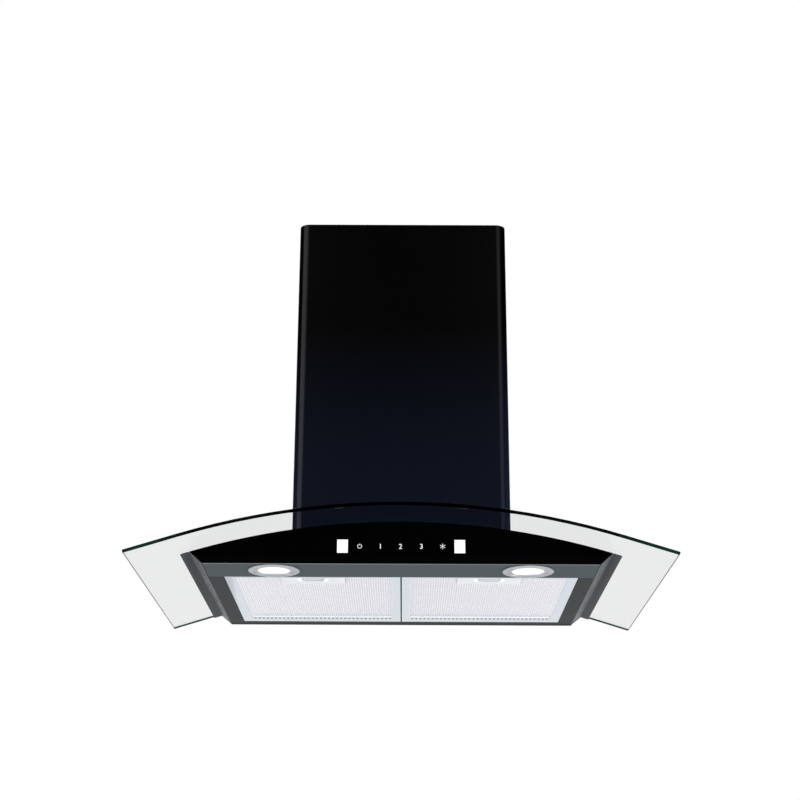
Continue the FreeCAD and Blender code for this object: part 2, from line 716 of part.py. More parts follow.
def make_lamp_lens(side):
    """Diffuser disc that lies on the bezel inside its sleeve."""
    low = -LAMP_GASKET - SEAM / 2 + HEAD_SEAT
    radius = LAMP_SLEEVE_RADIUS - LAMP_SLEEVE_WALL - SEAM
    centre = lamp_centre(side)
    disc = rod(radius, centre + V(0, 0, low), centre + V(0, 0, low + LAMP_LENS_THICKNESS))
    pane_low = low - (LAMP_BEZEL_HEIGHT - LAMP_DISH_DEPTH)
    pane = rod(LAMP_GLOW_RADIUS - SEAM, centre + V(0, 0, pane_low), centre + V(0, 0, low))
    return disc.fuse(pane).removeSplitter()


def make_lamp_housing(side):
    """Cap over the lamp with its light board inside."""
    base = -LAMP_GASKET - SEAM / 2 + 2 * HEAD_SEAT + LAMP_LENS_THICKNESS
    outer = LAMP_SLEEVE_RADIUS - LAMP_SLEEVE_WALL - SEAM
    inner = outer - LAMP_HOUSING_WALL
    top = base + LAMP_HOUSING_HEIGHT
    centre = lamp_centre(side)
    cap = rod(outer, centre + V(0, 0, base), centre + V(0, 0, top))
    cap = cap.cut(rod(inner, centre + V(0, 0, base), centre + V(0, 0, top - LAMP_HOUSING_WALL)))
    board_low = centre + V(0, 0, top - LAMP_HOUSING_WALL - LAMP_BOARD_DROP)
    light_board = rod(inner, board_low, board_low + V(0, 0, LAMP_BOARD_THICKNESS))
    return cap.fuse(light_board).removeSplitter()


# ---------------------------------------------------------------- filters

def filter_ends():
    """Inner and outer edge of the right-hand filter."""
    return FILTER_SIDE_GAP, OPENING_HALF_WIDTH - FILTER_SIDE_GAP


def filter_middle():
    """Distance of a filter's middle from the centre line."""
    return sum(filter_ends()) / 2


def filter_depths():
    """Front and rear edge of the filters."""
    return -OPENING_FRONT + FILTER_END_GAP, -OPENING_REAR - FILTER_END_GAP


def tongue_levels():
    """Bottom and top of a latch tongue."""
    low = FILTER_LIFT + FILTER_SHEET + TONGUE_LIFT
    return low, low + TONGUE_THICKNESS


def tongue_slot(margin):
    """Way for the right-hand latch tongue through the filter's front rail and the pocket wall."""
    middle = filter_middle()
    half = TONGUE_WIDTH / 2 + margin
    low, high = tongue_levels()
    front = filter_depths()[0]
    back = front + POCKET_SETBACK + margin
    return block(middle - half, middle + half, front - PAST, back, low - margin, high + margin)


def rail_edges():
    """Inner edges of the right-hand filter's side rails and of its front and rear rails."""
    x0, x1 = filter_ends()
    y0, y1 = filter_depths()
    return x0 + FILTER_INNER_RAIL, x1 - FILTER_OUTER_RAIL, y0 + FILTER_FRONT_RAIL, y1 - FILTER_REAR_RAIL


def rear_tab(x):
    """Hook at the filter's back that rests on the body behind it."""
    y1 = filter_depths()[1]
    low = SHEET + FILTER_LIFT
    half = TAB_WIDTH / 2
    return block(x - half, x + half, y1 - FILTER_SHEET, y1 + TAB_REACH, low, low + TAB_THICKNESS)


def make_filter_frame():
    """Right-hand frame: channel rails all round, drain holes at the back, two hooks."""
    x0, x1 = filter_ends()
    y0, y1 = filter_depths()
    z0, z1 = FILTER_LIFT, FILTER_LIFT + FILTER_HEIGHT
    wall = FILTER_SHEET
    hollow = block(x0 + wall, x1 - wall, y0 + wall, y1 - wall, z0 + wall, z1 - wall)
    frame = block(x0, x1, y0, y1, z0, z1).cut(hollow)
    left, right, front, rear = rail_edges()
    frame = frame.cut(block(left, right, front, rear, z0 - PAST, z1 + PAST))
    frame = frame.cut(tongue_slot(LATCH_CLEARANCE))
    frame = frame.fuse([rear_tab(filter_middle() + side * TAB_OFFSET) for side in (-1, 1)])
    row = rear + DRAIN_SETBACK
    count = int((right - left - 2 * DRAIN_SETBACK) / DRAIN_PITCH)
    drains = []
    for index in range(count + 1):
        x = (left + right) / 2 + (index - count / 2) * DRAIN_PITCH
        drains.append(rod(DRAIN_RADIUS, V(x, row, z0 - PAST), V(x, row, z0 + wall + PAST)))
    return frame.cut(Part.makeCompound(drains)).removeSplitter()


def make_filter_mesh():
    """Right-hand grease mesh: one folded sheet, its pleats running front to back."""
    left, right, front, rear = rail_edges()
    count = int((right - left + 2 * MESH_LAP) / MESH_PITCH)
    low = FILTER_LIFT + FILTER_SHEET + MESH_CLEARANCE
    zigzag = []
    for index in range(2 * count + 1):
        zigzag.append((left - MESH_LAP + index * MESH_PITCH / 2, low + (index % 2) * MESH_AMPLITUDE))
    upper = [(x, z + MESH_SHEET) for x, z in reversed(zigzag)]
    return along_y(zigzag + upper, front - MESH_LAP, rear + MESH_LAP).cut(handle_room())


def handle_edges():
    """Front and rear edge of the handle plate."""
    front = rail_edges()[2]
    return front, front + HANDLE_DEPTH


def handle_room():
    """Room that the mesh leaves for the right-hand handle."""
    y0, y1 = handle_edges()
    half = HANDLE_WIDTH / 2 + MESH_CLEARANCE
    middle = filter_middle()
    y0 = y0 - FILTER_FRONT_RAIL
    return block(middle - half, middle + half, y0, y1 + MESH_CLEARANCE, 0, FILTER_HEIGHT)


def stadium(width, depth, z0, z1, centre):
    """Upright prism with half-round ends."""
    half = (width - depth) / 2
    bar = block(centre.x - half, centre.x + half, centre.y - depth / 2, centre.y + depth / 2, z0, z1)
    ends = []
    for x in (centre.x - half, centre.x + half):
        ends.append(rod(depth / 2, V(x, centre.y, z0), V(x, centre.y, z1)))
    return bar.fuse(ends).removeSplitter()


def pocket_centre():
    """Centre of the right-hand finger pocket."""
    return V(filter_middle(), filter_depths()[0] + POCKET_SETBACK + POCKET_DEPTH / 2, 0)


def make_filter_handle():
    """Right-hand handle: flat plate with a finger pocket pressed up into it."""
    y0, y1 = handle_edges()
    middle = filter_middle()
    z0 = FILTER_LIFT
    half = HANDLE_WIDTH / 2
    plate_top = z0 + FILTER_SHEET
    plate = block(middle - half, middle + half, y0 + SEAM, y1, z0, plate_top)
    centre = pocket_centre()
    top = plate_top + POCKET_HEIGHT
    cup = stadium(POCKET_WIDTH + 2 * POCKET_WALL, POCKET_DEPTH + 2 * POCKET_WALL, z0, top, centre)
    room = block(middle - half, middle + half, y0 + SEAM, y1, z0, top)
    hollow = stadium(POCKET_WIDTH, POCKET_DEPTH, z0 - PAST, top - POCKET_WALL, centre)
    half = half - HANDLE_TAIL_MARGIN
    tail_back = y0 + HANDLE_TAIL_LAP
    low, high = plate_top + HEAD_SEAT, plate_top + SHEET
    tail = block(middle - half, middle + half, y0 - HANDLE_TAIL_LAP, tail_back, low, high)
    bend = block(middle - half, middle + half, y0 + SEAM, tail_back, z0, high)
    handle = plate.fuse([cup.common(room), tail, bend])
    return handle.cut(hollow).cut(tongue_slot(LATCH_CLEARANCE)).removeSplitter()


def make_filter_latch():
    """Right-hand latch: slider with a thumb rib in the pocket and a tongue out of the front rail."""
    centre = pocket_centre()
    front = centre.y - POCKET_DEPTH / 2 + LATCH_CLEARANCE
    low, high = tongue_levels()
    top = FILTER_LIFT + FILTER_SHEET + POCKET_HEIGHT - POCKET_WALL - LATCH_CLEARANCE
    back = front + LATCH_LENGTH
    half = LATCH_WIDTH / 2
    slider = block(centre.x - half, centre.x + half, front, back, low, top)
    rib = block(centre.x - half, centre.x + half, back - LATCH_RIB, back, FILTER_LIFT + LATCH_RECESS, low)
    tongue_front = filter_depths()[0] - TONGUE_REACH
    half = TONGUE_WIDTH / 2
    tongue = block(centre.x - half, centre.x + half, tongue_front, front, low, high)
    return slider.fuse([rib, tongue]).removeSplitter()


# ---------------------------------------------------------------- blower box

def box_screw_seats():
    """Where the blower box's foot screws sit: three each side and two in front."""
    inset = BOX_FLANGE / 2
    side_x = BOX_HALF_WIDTH - inset
    depths = (-BOX_SCREW_SETBACK, -BOX_DEPTH / 2, -BOX_DEPTH + BOX_SCREW_SETBACK)
    points = [(side * side_x, y) for side in (-1, 1) for y in depths]
    points += [(side * BOX_HALF_WIDTH / 2, BOX_FRONT + inset) for side in (-1, 1)]
    seats = []
    for x, y in points:
        inner = max(abs(x) - SCREW_HEAD_RADIUS, 0)
        seats.append(V(x, y, crown_height(DECK_TOP - SEAL_CLEARANCE - SHEET, inner) + HEAD_SEAT))
    return seats


def lid_screw_seats():
    """Where the screws of the blower box's lid sit."""
    x = BOX_HALF_WIDTH - BOX_FLANGE / 2
    depths = (-BOX_SCREW_SETBACK, -BOX_DEPTH + BOX_SCREW_SETBACK)
    return [V(side * x, y, BOX_TOP + HEAD_SEAT) for side in (-1, 1) for y in depths]


def make_box_screws():
    """Screws through the blower box's foot and the deck, and through its lid."""
    down = V(0, 0, -1)
    foot = [screw(seat, down, BOX_SCREW_LENGTH) for seat in box_screw_seats()]
    lid = [screw(seat, down, LID_SCREW_LENGTH) for seat in lid_screw_seats()]
    return Part.makeCompound(foot + lid)


def make_blower_box():
    """Folded walls around the blower, with a foot on the deck, a frame at the back and a flange on top."""
    foot_low = DECK_TOP - SEAL_CLEARANCE
    foot_high = foot_low - SHEET
    above_deck = crown_side(foot_low, ABOVE_ALL, BOX_FRONT, BOX_BACK)
    half = BOX_HALF_WIDTH
    top = BOX_TOP - SHEET
    outer = block(-half, half, BOX_FRONT, BOX_BACK, 0, top)
    inner = block(SHEET - half, half - SHEET, BOX_FRONT + SHEET, BOX_BACK + PAST, -PAST, top + PAST)
    foot = crown_band(foot_high, foot_low, BOX_FRONT, BOX_BACK).common(outer).cut(box_opening(BOX_FLANGE))
    back_frame = block(-half, half, BOX_BACK - SHEET, BOX_BACK, 0, top)
    top_flange = block(-half, half, BOX_FRONT, BOX_BACK, top - SHEET, top)
    half = half - BOX_FLANGE
    back_frame = back_frame.cut(block(-half, half, BOX_BACK - SHEET, BOX_BACK, 0, top - BOX_FLANGE))
    top_flange = top_flange.cut(block(-half, half, BOX_FRONT + BOX_FLANGE, BOX_BACK, top - SHEET, top))
    box = outer.cut(inner).fuse([back_frame, top_flange]).common(above_deck).fuse(foot).removeSplitter()
    for seat in box_screw_seats():
        box = box.cut(screw_hole(seat, V(0, 0, 1), BOX_SCREW_LENGTH))
    for seat in lid_screw_seats():
        box = box.cut(screw_hole(seat, V(0, 0, 1), LID_SCREW_LENGTH))
    for seat, direction in clamp_screw_seats():
        box = box.cut(screw_hole(seat, direction, CLAMP_SCREW_LENGTH))
    for seat, direction in rest_screw_seats():
        box = box.cut(screw_hole(seat, direction, REST_THICKNESS + REST_SCREW_END))
    return box


def make_blower_box_lid():
    """Flat lid of the blower box with the outlet and the holes of the gland, the collar and the screws."""
    half = BOX_HALF_WIDTH
    lid = block(-half, half, BOX_FRONT, BOX_BACK, BOX_TOP - SHEET, BOX_TOP)
    y0, y1 = throat_depths()
    lid = lid.cut(block(-VOLUTE_HALF, VOLUTE_HALF, y0, y1, BOX_TOP - SHEET - PAST, BOX_TOP + PAST))
    for point in collar_screw_points():
        lid = lid.cut(screw_hole(point, V(0, 0, 1), collar_screw_length()))
    for seat in lid_screw_seats():
        lid = lid.cut(screw_hole(seat, V(0, 0, 1), LID_SCREW_LENGTH))
    gland = gland_centre()
    reach = V(0, 0, SHEET + PAST)
    return lid.cut(rod(GLAND_THREAD_RADIUS + SEAM, gland - reach, gland + reach))


# ---------------------------------------------------------------- glass clamps

def inside_covers():
    """Half width and front plane of the space inside both chimney covers."""
    walls = 2 * CHIMNEY_SHEET + COVER_GAP
    return CHIMNEY_WIDTH / 2 - walls, -CHIMNEY_DEPTH + walls


def clamp_layers():
    """Depths of a clamp's top, the pad's top and the pad's underside, all above the glass."""
    pad_low = -HEAD_SEAT
    pad_high = pad_low - CLAMP_PAD
    foot_low = pad_high - HEAD_SEAT
    return foot_low - CLAMP_SHEET, foot_low, pad_high, pad_low


def side_clamp():
    """Right-hand clamp: a leg on the blower box's side and a foot over the glass."""
    x0 = BOX_HALF_WIDTH + HEAD_SEAT
    x1 = inside_covers()[0] - CLAMP_COVER_GAP
    y0, y1 = -(BOX_DEPTH + CLAMP_WIDTH) / 2, -(BOX_DEPTH - CLAMP_WIDTH) / 2
    high, low = clamp_layers()[:2]
    foot = crown_band(high, low, y0, y1).common(block(x0, x1, y0, y1, 0, BOX_TOP))
    base = crown_height(high, x0)
    leg = block(x0, x0 + CLAMP_SHEET, y0, y1, base - CLAMP_SHEET, base + CLAMP_RISE)
    return foot.fuse(leg).removeSplitter()


def front_clamp():
    """Clamp at the front of the blower box."""
    y1 = BOX_FRONT - HEAD_SEAT
    y0 = inside_covers()[1] + CLAMP_COVER_GAP
    half = CLAMP_WIDTH
    high, low = clamp_layers()[:2]
    foot = crown_band(high, low, y0, y1).common(block(-half, half, y0, y1, 0, BOX_TOP))
    leg = block(-half, half, y1 - CLAMP_SHEET, y1, 0, crown_height(high, 0) + CLAMP_RISE)
    return foot.fuse(leg.common(crown_side(low, BOX_TOP, y0, y1))).removeSplitter()


def clamp_screw_seats():
    """Seat and direction of each clamp screw."""
    rise = crown_height(0, BOX_HALF_WIDTH) + CLAMP_SCREW_RISE
    side_x = BOX_HALF_WIDTH + HEAD_SEAT + CLAMP_SHEET + HEAD_SEAT
    seats = []
    for side in (-1, 1):
        for shift in (-CLAMP_SCREW_PITCH / 2, CLAMP_SCREW_PITCH / 2):
            seats.append((V(side * side_x, -BOX_DEPTH / 2 + shift, rise), V(-side, 0, 0)))
        front_y = BOX_FRONT - 2 * HEAD_SEAT - CLAMP_SHEET
        seats.append((V(side * CLAMP_SCREW_PITCH, front_y, GLASS_CROWN + CLAMP_SCREW_RISE), V(0, 1, 0)))
    return seats


def drilled_for_clamp_screws(shape):
    """Clamp with its screw holes."""
    for seat, direction in clamp_screw_seats():
        shape = shape.cut(screw_hole(seat, direction, CLAMP_SCREW_LENGTH))
    return shape


def make_clamp_screws():
    """Screws that hold the three glass clamps to the blower box."""
    screws = [screw(seat, direction, CLAMP_SCREW_LENGTH) for seat, direction in clamp_screw_seats()]
    return Part.makeCompound(screws)


def make_clamp_pads():
    """Rubber pads between the clamps and the glass."""
    high, low = clamp_layers()[2:]
    cover_half, cover_front = inside_covers()
    notch = GLASS_NOTCH_GAP + CLAMP_NOTCH_MARGIN
    x0 = BOX_HALF_WIDTH + notch
    x1 = cover_half - CLAMP_COVER_GAP - CLAMP_PAD_MARGIN
    y0, y1 = -(BOX_DEPTH + CLAMP_WIDTH) / 2, -(BOX_DEPTH - CLAMP_WIDTH) / 2
    band = crown_band(high, low, -GLASS_DEPTH, 0)
    side = band.common(block(x0, x1, y0, y1, 0, BOX_TOP))
    y0 = cover_front + CLAMP_COVER_GAP + CLAMP_PAD_MARGIN
    front = block(-CLAMP_WIDTH, CLAMP_WIDTH, y0, BOX_FRONT - notch, 0, BOX_TOP)
    return Part.makeCompound([side, mirrored(side), band.common(front)])


# ---------------------------------------------------------------- blower

TONGUE_RADIUS = WHEEL_RADIUS + VOLUTE_TONGUE_GAP
VOLUTE_HALF = WHEEL_HALF_WIDTH + VOLUTE_SIDE_GAP


def volute_radius(angle):
    """Inner radius of the spiral at an angle, in degrees from the back over the top."""
    share = (angle - VOLUTE_TONGUE_ANGLE) / (360 - VOLUTE_TONGUE_ANGLE)
    return TONGUE_RADIUS + VOLUTE_GROWTH * share


def throat_depths():
    """Front and back of the rectangular outlet, inside its walls."""
    front = AXLE.y + TONGUE_RADIUS * math.cos(math.radians(VOLUTE_TONGUE_ANGLE))
    return front, AXLE.y + volute_radius(360)


def throat_centre():
    """Centre of the outlet on top of the blower box."""
    return V(0, sum(throat_depths()) / 2, BOX_TOP)


def spiral_point(angle, extra):
    """Point on the spiral, an extra distance outside it."""
    radius = volute_radius(angle) + extra
    turn = math.radians(angle)
    return V(0, AXLE.y + radius * math.cos(turn), AXLE.z + radius * math.sin(turn))


def volute_space(extra, top, width):
    """Spiral and outlet as one solid, an extra distance outside the air path."""
    sweep = (360 - VOLUTE_TONGUE_ANGLE) / VOLUTE_ARCS
    edges = []
    for index in range(VOLUTE_ARCS):
        start = VOLUTE_TONGUE_ANGLE + index * sweep
        ends = [spiral_point(start + part * sweep, extra) for part in (0, 0.5, 1)]
        edges.append(Part.Arc(*ends).toShape())
    first, last = spiral_point(VOLUTE_TONGUE_ANGLE, extra), spiral_point(360, extra)
    axle = V(0, AXLE.y, AXLE.z)
    edges.append(Part.LineSegment(last, axle).toShape())
    edges.append(Part.LineSegment(axle, first).toShape())
    spiral = Part.Face(Part.Wire(Part.__sortEdges__(edges))).extrude(V(width, 0, 0))
    beside_wheel = block(0, width, axle.y, last.y, axle.z, first.z)
    outlet = block(0, width, throat_depths()[0] - extra, last.y, first.z - PAST, top)
    return spiral.fuse([beside_wheel, outlet]).removeSplitter()


def make_volute_half():
    """Right-hand half of the blower housing: side plate with its inlet, half the wrap, outlet flange."""
    top = BOX_TOP - SHEET - SEAM
    outer = volute_space(VOLUTE_WALL, top, VOLUTE_HALF + VOLUTE_WALL)
    inner = volute_space(0, top + PAST, VOLUTE_HALF)
    inlet = rod(INLET_RADIUS, AXLE, AXLE + V(VOLUTE_HALF + VOLUTE_WALL + PAST, 0, 0))
    y0, y1 = throat_depths()
    y0, y1 = y0 - VOLUTE_FLANGE, y1 + VOLUTE_FLANGE
    flange = block(0, VOLUTE_HALF + VOLUTE_FLANGE, y0, y1, top - VOLUTE_WALL, top)
    half = outer.fuse(flange).cut(inner).cut(inlet)
    for point in collar_screw_points():
        half = half.cut(screw_hole(point, V(0, 0, 1), collar_screw_length()))
    for point in spider_screw_points():
        half = half.cut(screw_hole(point, V(1, 0, 0), 2 * VOLUTE_WALL))
    return half.removeSplitter()


def blade():
    """One forward-curved blade, its full width, standing at the back of the wheel."""
    inner, outer = WHEEL_RADIUS - BLADE_DEPTH, WHEEL_RADIUS - BLADE_RIM
    low = Part.Arc(V(0, inner, 0), V(0, (inner + outer) / 2, -BLADE_BOW), V(0, outer, 0)).toShape()
    high = low.copy()
    high.translate(V(0, 0, BLADE_THICKNESS))
    ends = [Part.LineSegment(V(0, y, 0), V(0, y, BLADE_THICKNESS)).toShape() for y in (inner, outer)]
    face = Part.Face(Part.Wire(Part.__sortEdges__([low, high] + ends)))
    face.translate(V(-WHEEL_HALF_WIDTH, 0, 0))
    return face.extrude(V(2 * WHEEL_HALF_WIDTH, 0, 0))


def make_impeller():
    """Drum wheel: curved blades between two end rings, a middle disc and a hub."""
    half = WHEEL_HALF_WIDTH
    blades = []
    for index in range(WHEEL_BLADES):
        copy = blade()
        copy.rotate(V(0, 0, 0), V(1, 0, 0), index * 360 / WHEEL_BLADES)
        blades.append(copy)
    inner = WHEEL_RADIUS - WHEEL_RING
    rings = []
    for side in (-1, 1):
        rings.append(tube(WHEEL_RADIUS, inner, V(side * half, 0, 0), V(side * (half - WHEEL_PLATE), 0, 0)))
    disc = rod(WHEEL_RADIUS - 2 * BLADE_RIM, V(-WHEEL_PLATE / 2, 0, 0), V(WHEEL_PLATE / 2, 0, 0))
    hub = rod(HUB_RADIUS, V(-HUB_RADIUS, 0, 0), V(HUB_RADIUS, 0, 0))
    wheel = disc.fuse([hub] + rings + blades)
    wheel = wheel.cut(rod(SHAFT_RADIUS + HUB_FIT, V(-half, 0, 0), V(half, 0, 0)))
    wheel.translate(AXLE)
    return wheel


def make_motor_shaft():
    """Steel shaft through the wheel's hub and the motor."""
    start, end = -HUB_RADIUS - SHAFT_END, motor_span()[1] + SHAFT_TAIL
    return rod(SHAFT_RADIUS, AXLE + V(start, 0, 0), AXLE + V(end, 0, 0))


def motor_span():
    """Near and far end of the motor along X."""
    near = HUB_RADIUS + MOTOR_HUB_GAP
    return near, near + MOTOR_LENGTH


def make_motor():
    """Motor in the wheel: round case with stepped ends and a running bore for the shaft."""
    near, far = motor_span()
    x0, x1 = near + MOTOR_NOSE, far - MOTOR_TAIL
    case = rod(MOTOR_RADIUS, AXLE + V(x0, 0, 0), AXLE + V(x1, 0, 0))
    motor = case.fuse(rod(MOTOR_NOSE_RADIUS, AXLE + V(near, 0, 0), AXLE + V(far, 0, 0)))
    x0, x1 = x0 + MOTOR_SLOT_MARGIN, x1 - MOTOR_SLOT_MARGIN
    half = MOTOR_SLOT_WIDTH / 2
    for index in range(MOTOR_SLOTS):
        slot = block(x0, x1, -half, half, MOTOR_RADIUS - MOTOR_SLOT_DEPTH, MOTOR_RADIUS + PAST)
        slot.rotate(V(0, 0, 0), V(1, 0, 0), index * 360 / MOTOR_SLOTS)
        slot.translate(AXLE)
        motor = motor.cut(slot)
    for point in motor_screw_points():
        reach = SPIDER_THICKNESS + MOTOR_SCREW_BITE + SCREW_END_GAP
        motor = motor.cut(rod(SCREW_RADIUS + SCREW_CLEARANCE, point, point - V(reach, 0, 0)))
    bore = rod(SHAFT_RADIUS + SHAFT_CLEARANCE, AXLE, AXLE + V(far + PAST, 0, 0))
    return motor.cut(bore).removeSplitter()


def spider_angles():
    """Directions of the motor bracket's arms, in degrees."""
    return (90, 210, 330)


def spider_foot_radius():
    """Distance of the bracket's feet from the axle."""
    return INLET_RADIUS + SPIDER_FOOT


def spider_screw_points():
    """Centres of the screws through the bracket's feet, at the housing's side plate."""
    points = []
    for angle in spider_angles():
        turn = math.radians(angle)
        arm = V(0, math.cos(turn), math.sin(turn)) * spider_foot_radius()
        points.append(AXLE + arm + V(VOLUTE_HALF + VOLUTE_WALL + SPIDER_THICKNESS + 2 * HEAD_SEAT, 0, 0))
    return points


def make_motor_bracket():
    """Three-armed bracket from the motor's end to the housing's side plate."""
    plate_x = motor_span()[1] + HEAD_SEAT
    foot_x = VOLUTE_HALF + VOLUTE_WALL + HEAD_SEAT
    half = SPIDER_ARM_WIDTH / 2
    reach = spider_foot_radius() + half
    bracket = rod(SPIDER_HUB_RADIUS, V(plate_x, 0, 0), V(plate_x + SPIDER_THICKNESS, 0, 0))
    for angle in spider_angles():
        leg_r = INLET_RADIUS + SPIDER_INLET_MARGIN
        arm = block(plate_x, plate_x + SPIDER_THICKNESS, 0, leg_r, -half, half)
        leg = block(foot_x, plate_x + SPIDER_THICKNESS, leg_r - SPIDER_THICKNESS, leg_r, -half, half)
        foot = block(foot_x, foot_x + SPIDER_THICKNESS, leg_r - SPIDER_THICKNESS, reach, -half, half)
        one = arm.fuse([leg, foot])
        one.rotate(V(0, 0, 0), V(1, 0, 0), angle)
        bracket = bracket.fuse(one)
    bracket.translate(AXLE)
    for point in spider_screw_points() + motor_screw_points():
        bracket = bracket.cut(screw_hole(point, V(1, 0, 0), 2 * SPIDER_THICKNESS))
    shaft_room = rod(1.5 * SHAFT_RADIUS, AXLE, AXLE + V(plate_x + SPIDER_THICKNESS + PAST, 0, 0))
    return bracket.cut(shaft_room).removeSplitter()


def motor_screw_points():
    """Seats of the screws that hold the motor to its bracket."""
    plate_x = motor_span()[1] + SPIDER_THICKNESS + 2 * HEAD_SEAT
    points = []
    for angle in spider_angles():
        turn = math.radians(angle + 180)
        arm = V(0, math.cos(turn), math.sin(turn)) * MOTOR_SCREW_CIRCLE
        points.append(AXLE + arm + V(plate_x, 0, 0))
    return points


def make_motor_screws():
    """Screws of the motor and of its bracket."""
    inward = V(-1, 0, 0)
    holding_length, foot_length = SPIDER_THICKNESS + MOTOR_SCREW_BITE, SPIDER_THICKNESS + VOLUTE_WALL
    holding = [screw(point, inward, holding_length) for point in motor_screw_points()]
    feet = [screw(point, inward, foot_length) for point in spider_screw_points()]
    return Part.makeCompound(holding + feet)


# ---------------------------------------------------------------- electrics

def capacitor_axis():
    """Foot of the motor capacitor's axis, beside the left wall of the blower box."""
    x = -BOX_HALF_WIDTH + SHEET + HEAD_SEAT + CLIP_SHEET + CLIP_FIT + CAPACITOR_RADIUS
    y = BOX_FRONT + SHEET + CAPACITOR_FRONT_GAP + CAPACITOR_RADIUS
    return V(x, y, AXLE_HEIGHT + CAPACITOR_RISE)


def make_capacitor():
    """Motor capacitor with two terminals."""
    foot = capacitor_axis()
    can = rod(CAPACITOR_RADIUS, foot, foot + V(0, 0, CAPACITOR_HEIGHT))
    top = foot + V(0, 0, CAPACITOR_HEIGHT)
    pins = []
    for side in (-1, 1):
        pin_foot = top + V(0, side * CAPACITOR_PIN_PITCH / 2, 0)
        pins.append(rod(CAPACITOR_PIN_RADIUS, pin_foot, pin_foot + V(0, 0, CAPACITOR_PIN_HEIGHT)))
    return can.fuse(pins).removeSplitter()


def make_capacitor_clip():
    """Band round the capacitor with a plate on the blower box's wall."""
    foot = capacitor_axis() + V(0, 0, CLIP_RISE)
    top = foot + V(0, 0, CLIP_HEIGHT)
    inner = CAPACITOR_RADIUS + CLIP_FIT
    wall = -BOX_HALF_WIDTH + SHEET + HEAD_SEAT
    plate = block(wall, wall + CLIP_SHEET, foot.y, foot.y + CLIP_PLATE_LENGTH, foot.z, top.z)
    return rod(inner + CLIP_SHEET, foot, top).fuse(plate).cut(rod(inner, foot, top)).removeSplitter()


def control_box_bounds():
    """Corners of the control box on the left of the blower box."""
    x1 = -BOX_HALF_WIDTH - HEAD_SEAT
    y0 = -BOX_DEPTH + CONTROL_BOX_SETBACK
    z0 = CONTROL_BOX_BOTTOM
    return x1 - CONTROL_BOX_DEPTH, x1, y0, y0 + CONTROL_BOX_LENGTH, z0, z0 + CONTROL_BOX_HEIGHT


def make_control_box():
    """Open plastic tray that holds the control board, with four posts."""
    x0, x1, y0, y1, z0, z1 = control_box_bounds()
    wall = CONTROL_BOX_WALL
    tray = block(x0 + wall, x1, y0, y1, z0, z1)
    tray = tray.cut(block(x0, x1 - wall, y0 + wall, y1 - wall, z0 + wall, z1 - wall))
    posts = []
    for y in (y0 + BOARD_POST_INSET, y1 - BOARD_POST_INSET):
        for z in (z0 + BOARD_POST_INSET, z1 - BOARD_POST_INSET):
            posts.append(rod(BOARD_POST_RADIUS, V(x1 - wall, y, z), V(x1 - wall - BOARD_POST_HEIGHT, y, z)))
    return tray.fuse(posts).removeSplitter()


def make_control_box_lid():
    """Lid of the control box with a lip that fits inside it."""
    x0, x1, y0, y1, z0, z1 = control_box_bounds()
    wall = CONTROL_BOX_WALL
    lid = block(x0, x0 + wall, y0, y1, z0, z1)
    fit = wall + SEAM
    lip = block(x0 + wall, x0 + 2 * wall, y0 + fit, y1 - fit, z0 + fit, z1 - fit)
    hollow = block(x0 + wall, x1, y0 + 2 * wall, y1 - 2 * wall, z0 + 2 * wall, z1 - 2 * wall)
    return lid.fuse(lip.cut(hollow)).removeSplitter()


def make_control_board():
    """Power board: relays, transformer, terminal block."""
    x0, x1, y0, y1, z0, z1 = control_box_bounds()
    back = x1 - CONTROL_BOX_WALL - BOARD_POST_HEIGHT - HEAD_SEAT
    front = back - BOARD_THICKNESS
    edge = CONTROL_BOX_WALL + BOARD_EDGE_GAP
    board = block(front, back, y0 + edge, y1 - edge, z0 + edge, z1 - edge)
    corner = V(front, y0 + BOARD_POST_INSET, z0 + BOARD_POST_INSET)
    parts = [board_part(corner, TRANSFORMER)]
    for index in range(RELAYS):
        rise = TRANSFORMER[2] + BOARD_POST_INSET + index * RELAY_PITCH
        parts.append(board_part(corner + V(0, 0, rise), RELAY))
    parts.append(board_part(V(front, y1 - BOARD_POST_INSET - TERMINALS[1], corner.z), TERMINALS))
    return board.fuse(parts).removeSplitter()


def board_part(corner, size):
    """Block that stands on the power board: its height, depth and length."""
    return block(corner.x - size[0], corner.x, corner.y, corner.y + size[1], corner.z, corner.z + size[2])


def gland_centre():
    """Where the cable gland stands on top of the blower box."""
    return V(BOX_HALF_WIDTH - GLAND_SIDE_INSET, BOX_FRONT + GLAND_FRONT_INSET, BOX_TOP)


def hexagon(foot, height):
    """Hexagonal block of the gland's size, standing or hanging at a point."""
    corners = []
    for index in range(6):
        turn = math.radians(60 * index)
        corners.append(foot + V(math.cos(turn), math.sin(turn), 0) * GLAND_HEX / math.sqrt(3))
    return polygon(corners).extrude(V(0, 0, height))


def make_cable_gland():
    """Hexagonal gland with the bore for the supply cable."""
    foot = gland_centre() + V(0, 0, HEAD_SEAT)
    top, end = foot + V(0, 0, GLAND_HEIGHT), foot - V(0, 0, GLAND_THREAD_LENGTH)
    dome = rod(GLAND_BODY_RADIUS, foot, top)
    dome = dome.makeFillet(GLAND_ROUNDING, [top_rim(dome, top)])
    gland = hexagon(foot, GLAND_FLANGE).fuse([dome, rod(GLAND_THREAD_RADIUS, end, foot)])
    return gland.cut(rod(GLAND_BORE_RADIUS, end, top)).removeSplitter()


def make_gland_nut():
    """Lock nut of the gland under the top of the blower box."""
    top = gland_centre() - V(0, 0, SHEET + HEAD_SEAT)
    bore = rod(GLAND_THREAD_RADIUS + HEAD_SEAT, top - V(0, 0, GLAND_NUT_HEIGHT), top)
    return hexagon(top, -GLAND_NUT_HEIGHT).cut(bore)


# ---------------------------------------------------------------- outlet collar and damper

